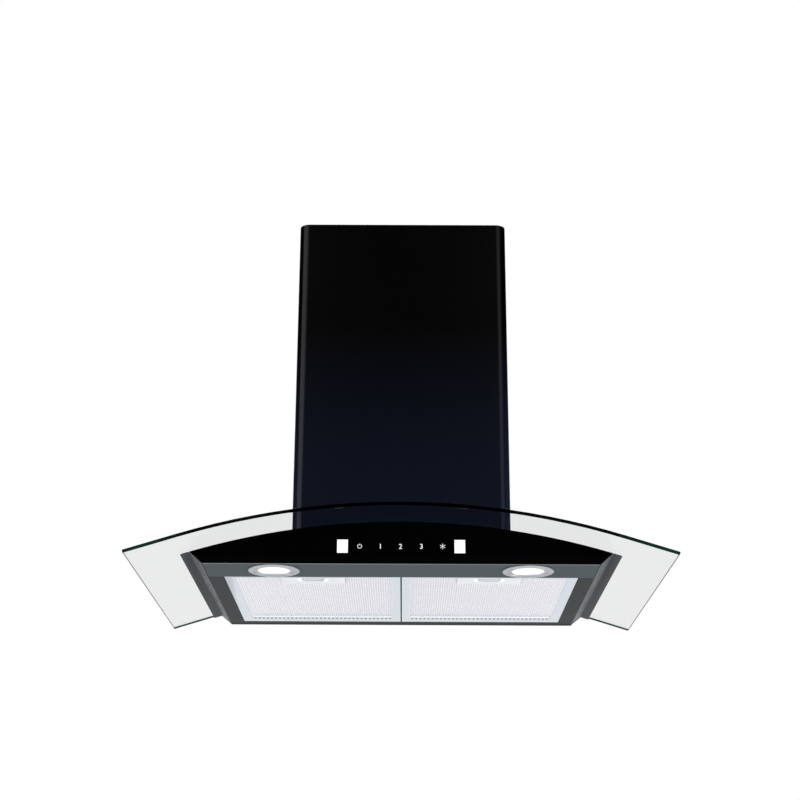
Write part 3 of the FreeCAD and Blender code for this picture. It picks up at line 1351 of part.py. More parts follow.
def collar_screw_points():
    """Seats of the four screws through the collar's base."""
    centre = throat_centre()
    top = BOX_TOP + SEAM + COLLAR_BASE + HEAD_SEAT
    y0, y1 = throat_depths()
    dx = VOLUTE_HALF + VOLUTE_FLANGE / 2
    dy = (y1 - y0 + VOLUTE_FLANGE) / 2
    return [V(centre.x + sx * dx, centre.y + sy * dy, top) for sx in (-1, 1) for sy in (-1, 1)]


def collar_screw_length():
    """Length of the collar's screws: through the base, the box and the housing's flange."""
    return COLLAR_BASE + 2 * SEAM + SHEET + VOLUTE_WALL + COLLAR_SCREW_END


def make_collar_screws():
    """Four screws of the outlet collar."""
    length = collar_screw_length()
    return Part.makeCompound([screw(point, V(0, 0, -1), length) for point in collar_screw_points()])


def flap_level():
    """Height of the damper's pivots."""
    return BOX_TOP + SEAM + FLAP_HEIGHT


def make_outlet_collar():
    """Round collar for the duct on a square base, with pivot holes and rest lugs for the damper."""
    centre = throat_centre()
    low = BOX_TOP + SEAM
    half = COLLAR_RADIUS + COLLAR_BASE_MARGIN
    base_back = min(centre.y + half, BOX_BACK)
    base = block(-half, half, centre.y - half, base_back, low, low + COLLAR_BASE)
    foot = V(centre.x, centre.y, low)
    collar = rod(COLLAR_RADIUS, foot, foot + V(0, 0, COLLAR_HEIGHT))
    inner = COLLAR_RADIUS - COLLAR_WALL
    bore = rod(inner, foot, foot + V(0, 0, COLLAR_HEIGHT))
    shape = base.fuse(collar).cut(bore)
    level = flap_level()
    for side in (-1, 1):
        y = centre.y + side * FLAP_PIVOT_OFFSET
        pin_radius = FLAP_PIN_RADIUS + FLAP_PIN_CLEARANCE
        shape = shape.cut(rod(pin_radius, V(-COLLAR_RADIUS, y, level), V(COLLAR_RADIUS, y, level)))
        reaches = (inner - FLAP_LUG_REACH, inner + COLLAR_WALL / 2)
        y0, y1 = sorted(centre.y + side * reach for reach in reaches)
        top = level - FLAP_THICKNESS / 2 - FLAP_LUG_GAP
        lug_half = FLAP_LUG_WIDTH / 2
        shape = shape.fuse(block(-lug_half, lug_half, y0, y1, top - FLAP_LUG_HEIGHT, top))
    for point in collar_screw_points():
        shape = shape.cut(screw_hole(point, V(0, 0, 1), collar_screw_length()))
    return shape.removeSplitter()


def make_damper_flap(side):
    """Half-round flap with its pivot pin; side 1 is the one by the wall."""
    centre = throat_centre()
    level = flap_level()
    radius = COLLAR_RADIUS - COLLAR_WALL - FLAP_GAP
    low, high = level - FLAP_THICKNESS / 2, level + FLAP_THICKNESS / 2
    y0, y1 = sorted(centre.y + side * reach for reach in (FLAP_PIVOT_OFFSET / 2, radius))
    plate = rod(radius, V(0, centre.y, low), V(0, centre.y, high))
    plate = plate.common(block(-radius, radius, y0, y1, low, high))
    pin_half = COLLAR_RADIUS - SEAM
    pivot_y = centre.y + side * FLAP_PIVOT_OFFSET
    pin = rod(FLAP_PIN_RADIUS, V(-pin_half, pivot_y, level), V(pin_half, pivot_y, level))
    return plate.fuse(pin).removeSplitter()


# ---------------------------------------------------------------- chimney

def is_front_upright(edge, front):
    """Whether an edge stands upright in a front plane."""
    box = edge.BoundBox
    return max(box.XLength, box.YLength) < SEAM and abs(box.YMin - front) < SEAM


def channel(half_width, front, back, corner, thickness, return_width, z0, z1):
    """Upright sheet channel: front, two sides and returns at the back, rounded at the front corners."""
    def outline(inset):
        plan = block(-half_width + inset, half_width - inset, front + inset, back + corner, z0, z1)
        corners = [edge for edge in plan.Edges if is_front_upright(edge, front + inset)]
        return plan.makeFillet(corner - inset, corners)

    shell = outline(0).cut(outline(thickness))
    shell = shell.common(block(-half_width, half_width, front, back, z0, z1))
    for side in (-1, 1):
        x0, x1 = sorted((side * (half_width - thickness), side * (half_width - return_width)))
        shell = shell.fuse(block(x0, x1, back - thickness, back, z0, z1))
    return shell.removeSplitter()


def make_lower_chimney():
    """Lower chimney cover, its foot cut to the curve of the glass."""
    half = CHIMNEY_WIDTH / 2
    cover = channel(half, -CHIMNEY_DEPTH, 0, CHIMNEY_CORNER, CHIMNEY_SHEET, CHIMNEY_RETURN, 0, CHIMNEY_TOP)
    cover = cover.common(crown_side(-CHIMNEY_GLASS_GAP, ABOVE_ALL, -CHIMNEY_DEPTH, 0))
    for seat, direction in cover_screw_seats():
        cover = cover.cut(screw_hole(seat, direction, SCREW_HEAD_HEIGHT))
    return cover


def upper_half():
    """Half width of the upper chimney cover."""
    return CHIMNEY_WIDTH / 2 - CHIMNEY_SHEET - COVER_GAP


def upper_back():
    """Back plane of the upper chimney cover."""
    return -CHIMNEY_SHEET - COVER_BACK_GAP


def make_upper_chimney():
    """Upper chimney cover, which slides up inside the lower one."""
    front = -CHIMNEY_DEPTH + CHIMNEY_SHEET + COVER_GAP
    corner = CHIMNEY_CORNER - CHIMNEY_SHEET - COVER_GAP
    top = CHIMNEY_TOP - UPPER_COVER_RECESS
    low = UPPER_COVER_BOTTOM
    cover = channel(upper_half(), front, upper_back(), corner, CHIMNEY_SHEET, UPPER_RETURN, low, top)
    for seat in bracket_screw_seats():
        cover = cover.cut(screw_hole(seat, V(0, 1, 0), bracket_screw_length()))
    return cover


def bracket_levels():
    """Bottom and top of the upper wall bracket."""
    top = CHIMNEY_TOP - UPPER_COVER_RECESS - BRACKET_DROP
    return top - BRACKET_HEIGHT, top


def make_upper_bracket():
    """Wall bracket inside the top of the upper cover, with its ends folded forward."""
    z0, z1 = bracket_levels()
    y1 = upper_back() - CHIMNEY_SHEET - HEAD_SEAT
    half = upper_half() - CHIMNEY_SHEET - SEAM
    strip = block(-half, half, y1 - BRACKET_SHEET, y1, z0, z1)
    end = block(half - BRACKET_SHEET, half, y1 - BRACKET_END, y1, z0, z1)
    bracket = strip.fuse([end, mirrored(end)])
    for side in (-1, 1):
        x = side * BRACKET_HOLE_SPACING / 2
        middle = (z0 + z1) / 2
        bracket = bracket.cut(rod(WALL_HOLE_RADIUS, V(x, y1 - BRACKET_SHEET, middle), V(x, y1, middle)))
    for seat in bracket_screw_seats():
        bracket = bracket.cut(screw_hole(seat, V(0, 1, 0), bracket_screw_length()))
    return bracket.removeSplitter()


def bracket_screw_seats():
    """Seats of the flat screws through the upper cover's returns into its bracket."""
    z0, z1 = bracket_levels()
    x = upper_half() - UPPER_RETURN + BRACKET_SCREW_MARGIN
    y = upper_back() + HEAD_SEAT
    heights = (z0 + BRACKET_SCREW_INSET, z1 - BRACKET_SCREW_INSET)
    return [V(side * x, y, z) for side in (-1, 1) for z in heights]


def bracket_screw_length():
    """Length of the upper bracket's screws."""
    return HEAD_SEAT + CHIMNEY_SHEET + HEAD_SEAT + BRACKET_SHEET + BRACKET_SCREW_END


def make_bracket_screws():
    """Flat-headed screws that hold the upper cover to its wall bracket."""
    screws = []
    for seat in bracket_screw_seats():
        head = rod(BRACKET_SCREW_HEAD_RADIUS, seat, seat + V(0, BRACKET_SCREW_HEAD, 0))
        shank = rod(SCREW_RADIUS, seat, seat - V(0, bracket_screw_length(), 0))
        screws.append(head.fuse(shank).removeSplitter())
    return Part.makeCompound(screws)


def chimney_rest():
    """Right-hand shelf bracket on the blower box: it carries the upper cover and holds the lower one."""
    y0 = -REST_SETBACK - REST_DEPTH / 2
    y1 = y0 + REST_DEPTH
    top = UPPER_COVER_BOTTOM - REST_GAP
    x0 = BOX_HALF_WIDTH + HEAD_SEAT
    x1 = CHIMNEY_WIDTH / 2 - CHIMNEY_SHEET - SEAM
    shelf = block(x0, x1, y0, y1, top - REST_THICKNESS, top)
    inner = block(x0, x0 + REST_THICKNESS, y0, y1, top - REST_THICKNESS, top + REST_FOOT)
    outer = block(x1 - REST_THICKNESS, x1, y0, y1, top - REST_FOOT, top)
    return shelf.fuse([inner, outer]).removeSplitter()


def rest_screw_seats():
    """Seat and direction of the screws that hold the shelf brackets to the blower box."""
    x = BOX_HALF_WIDTH + REST_THICKNESS + 2 * HEAD_SEAT
    z = UPPER_COVER_BOTTOM + REST_FOOT / 2
    return [(V(side * x, -REST_SETBACK, z), V(-side, 0, 0)) for side in (-1, 1)]


def cover_screw_seats():
    """Seat and direction of the screws through the lower cover's sides into the shelf brackets."""
    x = CHIMNEY_WIDTH / 2 + HEAD_SEAT
    z = UPPER_COVER_BOTTOM - REST_FOOT / 2
    return [(V(side * x, -REST_SETBACK, z), V(-side, 0, 0)) for side in (-1, 1)]


def make_chimney_rests():
    """Both shelf brackets with their holes."""
    rests = []
    for rest in (mirrored(chimney_rest()), chimney_rest()):
        for seat, direction in rest_screw_seats() + cover_screw_seats():
            rest = rest.cut(screw_hole(seat, direction, REST_THICKNESS + REST_SCREW_END))
        rests.append(rest)
    return Part.makeCompound(rests)


def make_chimney_screws():
    """Screws of the shelf brackets and of the lower cover."""
    inner_length = REST_THICKNESS + REST_SCREW_END
    outer_length = CHIMNEY_SHEET + SEAM + REST_THICKNESS + COVER_SCREW_END
    inner = [screw(seat, direction, inner_length) for seat, direction in rest_screw_seats()]
    outer = [screw(seat, direction, outer_length) for seat, direction in cover_screw_seats()]
    return Part.makeCompound(inner + outer)


# ---------------------------------------------------------------- all pieces

def glass_pieces():
    """Glass, its seals and its clamps."""
    right = drilled_for_clamp_screws(side_clamp())
    return {
        "glass_canopy": make_glass(),
        "glass_seals": make_glass_seals(),
        "glass_clamp_left": mirrored(right),
        "glass_clamp_right": right,
        "glass_clamp_front": drilled_for_clamp_screws(front_clamp()),
        "clamp_pads": make_clamp_pads(),
        "clamp_screws": make_clamp_screws(),
    }


def body_pieces():
    """Sheet metal of the body, the front panel and the controls."""
    return {
        "body_tray": make_body_tray(),
        "lamp_panel": make_lamp_panel(),
        "top_deck": make_top_deck(),
        "back_panel": make_back_panel(),
        "front_panel": make_front_panel(),
        "panel_screws": make_panel_screws(),
        "indicator_window_left": window_cut(-1, 0),
        "indicator_window_right": window_cut(1, 0),
        "touch_board": make_touch_board(),
    }


def lamp_pieces():
    """Both lamps."""
    pieces = {}
    for name, side in (("left", -1), ("right", 1)):
        pieces["lamp_gasket_" + name] = make_lamp_gasket(side)
        pieces["lamp_bezel_" + name] = make_lamp_bezel(side)
        pieces["lamp_lens_" + name] = make_lamp_lens(side)
        pieces["lamp_housing_" + name] = make_lamp_housing(side)
    return pieces


def filter_pieces():
    """Both filters: the right-hand pieces and their mirror images."""
    right = {
        "filter_frame": make_filter_frame(),
        "filter_mesh": make_filter_mesh(),
        "filter_handle": make_filter_handle(),
        "filter_latch": make_filter_latch(),
    }
    pieces = {}
    for name, shape in right.items():
        pieces[name + "_right"] = shape
        pieces[name + "_left"] = mirrored(shape)
    return pieces


def blower_pieces():
    """Blower box, blower and electrics."""
    volute = make_volute_half()
    return {
        "blower_box": make_blower_box(),
        "blower_box_lid": make_blower_box_lid(),
        "box_screws": make_box_screws(),
        "volute_left": mirrored(volute),
        "volute_right": volute,
        "impeller": make_impeller(),
        "motor_shaft": make_motor_shaft(),
        "motor": make_motor(),
        "motor_bracket": make_motor_bracket(),
        "motor_screws": make_motor_screws(),
        "capacitor": make_capacitor(),
        "capacitor_clip": make_capacitor_clip(),
        "control_box": make_control_box(),
        "control_box_lid": make_control_box_lid(),
        "control_board": make_control_board(),
        "cable_gland": make_cable_gland(),
        "gland_nut": make_gland_nut(),
    }


def chimney_pieces():
    """Outlet collar, damper and chimney."""
    return {
        "outlet_collar": make_outlet_collar(),
        "collar_screws": make_collar_screws(),
        "damper_flap_front": make_damper_flap(-1),
        "damper_flap_rear": make_damper_flap(1),
        "lower_chimney": make_lower_chimney(),
        "upper_chimney": make_upper_chimney(),
        "upper_wall_bracket": make_upper_bracket(),
        "bracket_screws": make_bracket_screws(),
        "chimney_rests": make_chimney_rests(),
        "chimney_screws": make_chimney_screws(),
    }


os.makedirs("parts", exist_ok=True)
groups = [glass_pieces(), body_pieces(), lamp_pieces(), filter_pieces(), blower_pieces(), chimney_pieces()]
for pieces in groups:
    for node, shape in pieces.items():
        shape.exportStep("parts/" + node + ".step")
        state = "valid" if shape.isValid() else "INVALID"
        print(node, len(shape.Solids), "solids", round(shape.Volume), "mm3", state)
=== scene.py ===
"""Looks of the curved glass range hood: finishes, rounded edges, key signs, lamp trims and the studio."""

import json
import logging
import math
from dataclasses import dataclass
from enum import Enum

import bpy
from mathutils import Matrix, Vector

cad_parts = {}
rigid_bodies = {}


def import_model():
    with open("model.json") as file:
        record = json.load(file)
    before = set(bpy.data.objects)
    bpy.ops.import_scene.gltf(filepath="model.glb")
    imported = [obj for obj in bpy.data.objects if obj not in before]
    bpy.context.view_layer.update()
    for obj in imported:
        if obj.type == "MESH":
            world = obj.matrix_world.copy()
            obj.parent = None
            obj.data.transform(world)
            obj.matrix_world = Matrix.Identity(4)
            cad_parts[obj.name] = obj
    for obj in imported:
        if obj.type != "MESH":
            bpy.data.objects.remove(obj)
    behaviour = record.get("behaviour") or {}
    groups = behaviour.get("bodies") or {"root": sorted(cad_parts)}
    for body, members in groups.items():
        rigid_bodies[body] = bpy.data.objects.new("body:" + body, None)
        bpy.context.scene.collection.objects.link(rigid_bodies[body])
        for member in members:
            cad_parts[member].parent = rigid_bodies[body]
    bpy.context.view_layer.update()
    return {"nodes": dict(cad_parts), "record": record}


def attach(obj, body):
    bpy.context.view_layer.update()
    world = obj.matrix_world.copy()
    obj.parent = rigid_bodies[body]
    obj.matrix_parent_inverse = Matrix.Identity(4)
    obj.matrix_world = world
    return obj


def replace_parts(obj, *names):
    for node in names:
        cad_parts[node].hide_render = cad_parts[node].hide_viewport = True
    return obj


LOG = logging.getLogger("range_hood")
MM = 0.001

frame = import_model()


class Grain(Enum):
    """Which way the fine marks of a surface run, as a stretch of the noise along X, Y and Z."""

    EVEN = (1.0, 1.0, 1.0)
    ACROSS = (0.03, 1.0, 1.0)
    FRONT_TO_BACK = (1.0, 0.03, 1.0)
    UPRIGHT = (1.0, 1.0, 0.03)


class Marking(Enum):
    """What a sheet's colour follows: its drift alone, painted shade by its height, painted shade in a row of
    drain slots, or painted light on its upright folded walls with painted shade along its rear edge.
    """

    NONE = "none"
    RISING = "rising"
    SLOTTED = "slotted"
    FOLDED = "folded"


BLACK = (0.0, 0.0, 0.0)
COVERS_LIT = "covers_lit"

# Where a marked sheet's painted light and shade change: over which heights the painted shade by height runs,
# over which depths the rear strip is painted darker, and how upright a face must be to be painted lit.
HEIGHT_SHADE_SPAN = (0.05, 0.42)
REAR_SHADE_DEPTHS = (-0.0195, -0.0165)
REAR_SHADE = 0.15
LIT_WALL_TILT = (0.75, 0.9)

# Shares and spans of the noise, and the cells of the pressed slits.
SLOW_SHARE = 0.35
CLOUD_SPAN = (0.35, 0.65)
SLIT_STRETCH = (1.0, 0.6, 0.0)
SLIT_DISORDER = 0.15
SLIT_SPAN = (0.25, 0.42)

# How close corners are joined, in metres, and which angles count as flat or smooth, in degrees.
MERGE = 0.000002
FLAT_FOLD = 0.3
FOIL_SMOOTH = 30.0
TURNED_SMOOTH = 28.0


# ------------------------------------------------------------------ shader groups

class NodeDesk:
    """A node tree that is being filled with nodes and links."""

    def __init__(self, tree: bpy.types.NodeTree) -> None:
        """Take up a node tree."""
        self.tree = tree

    def node(self, kind: str, **values: object) -> bpy.types.Node:
        """Add a node and set its properties.

        Args:
            kind: Blender's node type.
            values: Properties of the node.

        Returns:
            The new node.
        """
        made = self.tree.nodes.new(kind)
        for key, value in values.items():
            setattr(made, key, value)
        return made

    def link(self, start: bpy.types.NodeSocket, end: bpy.types.NodeSocket) -> None:
        """Join two sockets."""
        self.tree.links.new(start, end)

    def calc(self, operation: str, *values: object) -> bpy.types.NodeSocket:
        """Calculate with sockets and plain numbers.

        Args:
            operation: Blender's name of the operation.
            values: What goes in, in order.

        Returns:
            The socket with the result.
        """
        made = self.node("ShaderNodeMath", operation=operation)
        for place, value in zip(made.inputs, values):
            if isinstance(value, bpy.types.NodeSocket):
                self.link(value, place)
            else:
                place.default_value = value
        return made.outputs[0]

    def ranged(
        self, start: bpy.types.NodeSocket, low: float, high: float, taken: tuple[float, float] = (0.0, 1.0)
    ) -> bpy.types.NodeSocket:
        """Spread a value between two others.

        Args:
            start: The value.
            low: Result at the low end.
            high: Result at the high end.
            taken: The low and high end.

        Returns:
            The socket with the result.
        """
        spread = self.node("ShaderNodeMapRange")
        spread.inputs["From Min"].default_value = taken[0]
        spread.inputs["From Max"].default_value = taken[1]
        spread.inputs["To Min"].default_value = low
        spread.inputs["To Max"].default_value = high
        self.link(start, spread.inputs["Value"])
        return spread.outputs["Result"]

    def axis(self, start: bpy.types.NodeSocket, axis: str) -> bpy.types.NodeSocket:
        """Take a vector apart.

        Args:
            start: The vector.
            axis: X, Y or Z.

        Returns:
            The socket with that coordinate.
        """
        parts = self.node("ShaderNodeSeparateXYZ")
        self.link(start, parts.inputs[0])
        return parts.outputs[axis]

    def blend(self, kind: str, factor: object, first: object, second: object) -> bpy.types.NodeSocket:
        """Mix two values or colours.

        Args:
            kind: FLOAT or RGBA.
            factor: Share of the second one.
            first: First value, a socket or plain.
            second: Second value, a socket or plain.

        Returns:
            The socket with the mix.
        """
        mix = self.node("ShaderNodeMix", data_type=kind)
        for name, value in (("Factor", factor), ("A", first), ("B", second)):
            if isinstance(value, bpy.types.NodeSocket):
                self.link(value, mix.inputs[name])
            elif isinstance(value, tuple):
                mix.inputs[name].default_value = (*value, 1.0)
            else:
                mix.inputs[name].default_value = value
        return mix.outputs["Result"]


class ShaderGroup(NodeDesk):
    """A node group with named inputs and outputs, built once."""

    def __init__(self, name: str) -> None:
        """Start an empty group.

        Args:
            name: Name of the group.
        """
        super().__init__(bpy.data.node_groups.new(name, "ShaderNodeTree"))
        self.source = self.node("NodeGroupInput")
        self.result = self.node("NodeGroupOutput")

    def takes(self, name: str, kind: str, default: object = None) -> None:
        """Add an input.

        Args:
            name: Name of the input.
            kind: Kind of value: Float, Color or Vector.
            default: Value when nothing feeds it.
        """
        made = self.tree.interface.new_socket(name=name, in_out="INPUT", socket_type="NodeSocket" + kind)
        if default is not None:
            made.default_value = default

    def returns(self, name: str, kind: str) -> None:
        """Add an output of the kind Float, Color or Vector."""
        self.tree.interface.new_socket(name=name, in_out="OUTPUT", socket_type="NodeSocket" + kind)

    def given(self, name: str) -> bpy.types.NodeSocket:
        """Socket that carries an input into the group."""
        return self.source.outputs[name]

    def answer(self, name: str, start: bpy.types.NodeSocket) -> None:
        """Send a socket out of the group under a name."""
        self.link(start, self.result.inputs[name])


def grain_group() -> bpy.types.NodeTree:
    """Fine stretched marks of rolled or brushed sheet, and the slower unevenness under them.

    Returns:
        The group, with Height and Rub outputs.
    """
    group = ShaderGroup("Surface Grain")
    group.takes("Vector", "Vector")
    group.takes("Stretch", "Vector", (1.0, 1.0, 1.0))
    group.takes("Scale", "Float", 900.0)
    group.returns("Height", "Float")
    group.returns("Rub", "Float")
    stretch = group.node("ShaderNodeVectorMath", operation="MULTIPLY")
    group.link(group.given("Vector"), stretch.inputs[0])
    group.link(group.given("Stretch"), stretch.inputs[1])
    fine = group.node("ShaderNodeTexNoise")
    fine.inputs["Detail"].default_value = 3.0
    group.link(stretch.outputs[0], fine.inputs["Vector"])
    group.link(group.given("Scale"), fine.inputs["Scale"])
    slow = group.node("ShaderNodeTexNoise")
    slow.inputs["Scale"].default_value = 14.0
    slow.inputs["Detail"].default_value = 4.0
    group.link(group.given("Vector"), slow.inputs["Vector"])
    group.answer("Height", fine.outputs["Fac"])
    group.answer("Rub", group.blend("FLOAT", SLOW_SHARE, fine.outputs["Fac"], slow.outputs["Fac"]))
    return group.tree


def drift_group() -> bpy.types.NodeTree:
    """Slow change of a colour over a large surface.

    Returns:
        The group, with a Colour output.
    """
    group = ShaderGroup("Colour Drift")
    group.takes("Vector", "Vector")
    group.takes("Main", "Color", (0.5, 0.5, 0.5, 1.0))
    group.takes("Other", "Color", (0.4, 0.4, 0.4, 1.0))
    group.takes("Scale", "Float", 6.0)
    group.returns("Colour", "Color")
    cloud = group.node("ShaderNodeTexNoise")
    cloud.inputs["Detail"].default_value = 5.0
    cloud.inputs["Roughness"].default_value = 0.55
    group.link(group.given("Vector"), cloud.inputs["Vector"])
    group.link(group.given("Scale"), cloud.inputs["Scale"])
    spread = group.ranged(cloud.outputs["Fac"], 0.0, 1.0, CLOUD_SPAN)
    group.answer("Colour", group.blend("RGBA", spread, group.given("Main"), group.given("Other")))
    return group.tree


def expanded_metal_group() -> bpy.types.NodeTree:
    """Rows of small slits pressed into the filter foil, staggered like expanded metal.

    Returns:
        The group, with Height and Open outputs.
    """
    group = ShaderGroup("Expanded Metal")
    group.takes("Vector", "Vector")
    group.takes("Density", "Float", 420.0)
    group.returns("Height", "Float")
    group.returns("Open", "Float")
    stretched = group.node("ShaderNodeVectorMath", operation="MULTIPLY")
    stretched.inputs[1].default_value = SLIT_STRETCH
    group.link(group.given("Vector"), stretched.inputs[0])
    cells = group.node("ShaderNodeTexVoronoi", voronoi_dimensions="2D", feature="F1")
    cells.inputs["Randomness"].default_value = SLIT_DISORDER
    group.link(stretched.outputs[0], cells.inputs["Vector"])
    group.link(group.given("Density"), cells.inputs["Scale"])
    hole = group.ranged(cells.outputs["Distance"], 0.0, 1.0, SLIT_SPAN)
    group.answer("Height", hole)
    group.answer("Open", group.calc("SUBTRACT", 1.0, hole))
    return group.tree


def drain_slot_group() -> bpy.types.NodeTree:
    """Row of drain slots along the rear border of a filter frame, painted dark as painted shade in the holes.

    Returns:
        The group, with a Colour output.
    """
    group = ShaderGroup("Drain Slots")
    group.takes("Vector", "Vector")
    group.takes("Sheet", "Color", (0.6, 0.6, 0.6, 1.0))
    group.takes("Hollow", "Color", (0.10, 0.11, 0.13, 1.0))
    group.takes("Pitch", "Float", 0.0066)
    group.takes("First", "Float", 0.01785)
    group.takes("Width", "Float", 0.0032)
    group.takes("Row", "Float", -0.0497)
    group.takes("Length", "Float", 0.0074)
    group.takes("Middle", "Float", 0.12675)
    group.takes("Reach", "Float", 0.1115)
    group.returns("Colour", "Color")
    side = group.calc("ABSOLUTE", group.axis(group.given("Vector"), "X"))
    start = group.calc("SUBTRACT", side, group.given("First"))
    wave = group.calc("PINGPONG", start, group.calc("MULTIPLY", group.given("Pitch"), 0.5))
    across = group.calc("LESS_THAN", wave, group.calc("MULTIPLY", group.given("Width"), 0.5))
    far = group.calc("SUBTRACT", group.axis(group.given("Vector"), "Y"), group.given("Row"))
    half_length = group.calc("MULTIPLY", group.given("Length"), 0.5)
    along = group.calc("LESS_THAN", group.calc("ABSOLUTE", far), half_length)
    between = group.calc("COMPARE", side, group.given("Middle"), group.given("Reach"))
    inside = group.calc("MULTIPLY", across, group.calc("MULTIPLY", along, between))
    # Painted shade: the slots take the dark hollow colour.
    group.answer("Colour", group.blend("RGBA", inside, group.given("Sheet"), group.given("Hollow")))
    return group.tree


GRAIN_TREE = grain_group()
DRIFT_TREE = drift_group()
EXPANDED_TREE = expanded_metal_group()
SLOT_TREE = drain_slot_group()


# ------------------------------------------------------------------ finishes

class MaterialBench(NodeDesk):
    """One node material while it is being put together."""

    def __init__(self, name: str) -> None:
        """Make a material with a Principled shader.

        Args:
            name: Name of the material.
        """
        self.material = bpy.data.materials.new(name)
        self.material.use_nodes = True
        super().__init__(self.material.node_tree)
        self.shader = self.tree.nodes["Principled BSDF"]
        place = self.node("ShaderNodeTexCoord")
        self.object_space = place.outputs["Object"]
        self.facing = place.outputs["Normal"]

    def group(self, tree: bpy.types.NodeTree) -> bpy.types.Node:
        """Place a shader group and feed it the piece's own coordinates.

        Args:
            tree: The group.

        Returns:
            The group's node.
        """
        made = self.node("ShaderNodeGroup", node_tree=tree)
        self.link(self.object_space, made.inputs["Vector"])
        return made

    def size_along(self, start: bpy.types.NodeSocket, axis: str) -> bpy.types.NodeSocket:
        """Size of a vector along X, Y or Z, without its sign."""
        return self.calc("ABSOLUTE", self.axis(start, axis))

    def drift(self, first: tuple[float, ...], second: tuple[float, ...], scale: float) -> bpy.types.NodeSocket:
        """Place the colour drift.

        Args:
            first: Main colour.
            second: Other colour.
            scale: How fine the clouds are.

        Returns:
            The socket with the colour.
        """
        drift = self.group(DRIFT_TREE)
        drift.inputs["Main"].default_value = (*first, 1.0)
        drift.inputs["Other"].default_value = (*second, 1.0)
        drift.inputs["Scale"].default_value = scale
        return drift.outputs["Colour"]

    def bump(self, height: bpy.types.NodeSocket, depth: float) -> None:
        """Feed a height to the shader's normal.

        Args:
            height: Height from 0 to 1.
            depth: Depth of the marks in metres.
        """
        bump = self.node("ShaderNodeBump")
        bump.inputs["Strength"].default_value = 1.0
        bump.inputs["Distance"].default_value = depth
        self.link(height, bump.inputs["Height"])
        self.link(bump.outputs["Normal"], self.shader.inputs["Normal"])


@dataclass(frozen=True)
class SheetFinish:
    """Paint, metal or moulded plastic: a drifting colour or one marked with painted light and shade, uneven
    gloss and a fine grain.
    """

    name: str
    colour: tuple[float, float, float]
    other: tuple[float, float, float]
    gloss: tuple[float, float]
    metal: float = 0.0
    shine: float = 0.5
    grain: Grain = Grain.EVEN
    grain_scale: float = 900.0
    grain_depth: float = 0.00002
    drift_scale: float = 6.0
    marking: Marking = Marking.NONE

    def build(self) -> bpy.types.Material:
        """Make the material.

        Returns:
            The material.
        """
        bench = MaterialBench(self.name)
        shader = bench.shader
        shader.inputs["Metallic"].default_value = self.metal
        shader.inputs["Specular IOR Level"].default_value = self.shine
        bench.link(self.tint(bench), shader.inputs["Base Color"])
        marks = bench.group(GRAIN_TREE)
        marks.inputs["Stretch"].default_value = self.grain.value
        marks.inputs["Scale"].default_value = self.grain_scale
        bench.link(bench.ranged(marks.outputs["Rub"], *self.gloss), shader.inputs["Roughness"])
        bench.bump(marks.outputs["Height"], self.grain_depth)
        return bench.material

    def tint(self, bench: MaterialBench) -> bpy.types.NodeSocket:
        """Colour of the surface, with its marking of painted light and shade.

        Args:
            bench: The material that is being put together.

        Returns:
            The socket with the colour.
        """
        if self.marking is Marking.RISING:
            # Painted shade by height: bluish and lighter low down, going to black at the top.
            rise = bench.ranged(bench.axis(bench.object_space, "Z"), 0.0, 1.0, HEIGHT_SHADE_SPAN)
            return bench.blend("RGBA", rise, self.colour, self.other)
        if self.marking is Marking.FOLDED:
            # Painted light and shade: upright walls take the lighter colour as if lit, and flat faces near the
            # rear edge are painted darker as shade.
            lit_wall = bench.ranged(bench.size_along(bench.facing, "Z"), 1.0, 0.0, LIT_WALL_TILT)
            rear = bench.ranged(bench.axis(bench.object_space, "Y"), 1.0, REAR_SHADE, REAR_SHADE_DEPTHS)
            lit = bench.calc("MAXIMUM", lit_wall, rear)
            return bench.blend("RGBA", lit, BLACK, bench.blend("RGBA", lit_wall, self.colour, self.other))
        colour = bench.drift(self.colour, self.other, self.drift_scale)
        # Painted shade in the drain slots.
        if self.marking is Marking.SLOTTED:
            slots = bench.group(SLOT_TREE)
            bench.link(colour, slots.inputs["Sheet"])
            return slots.outputs["Colour"]
        return colour


@dataclass(frozen=True)
class FoilFinish:
    """Aluminium grease mesh: bright folded foil with staggered slits, with painted shade in its folds and
    slits.
    """

    name: str
    colour: tuple[float, float, float]
    fold_and_slit_shade: tuple[float, float, float]
    gloss: tuple[float, float]
    density: float
    depth: float
    half_pitch: float = 1.75 * MM
    slit_share: float = 0.3

    def build(self) -> bpy.types.Material:
        """Make the material.

        Returns:
            The material.
        """
        bench = MaterialBench(self.name)
        shader = bench.shader
        shader.inputs["Metallic"].default_value = 1.0
        slits = bench.group(EXPANDED_TREE)
        slits.inputs["Density"].default_value = self.density
        # Painted shade: the foil is darker in its folds and in its slits.
        fold = bench.calc("PINGPONG", bench.axis(bench.object_space, "X"), self.half_pitch)
        fold = bench.ranged(fold, 0.0, 1.0, (0.0, self.half_pitch))
        shade = bench.blend("FLOAT", self.slit_share, fold, slits.outputs["Open"])
        bench.link(bench.blend("RGBA", shade, self.colour, self.fold_and_slit_shade), shader.inputs["Base Color"])
        marks = bench.group(GRAIN_TREE)
        bench.link(bench.ranged(marks.outputs["Rub"], *self.gloss), shader.inputs["Roughness"])
        bench.bump(slits.outputs["Height"], self.depth)
        return bench.material


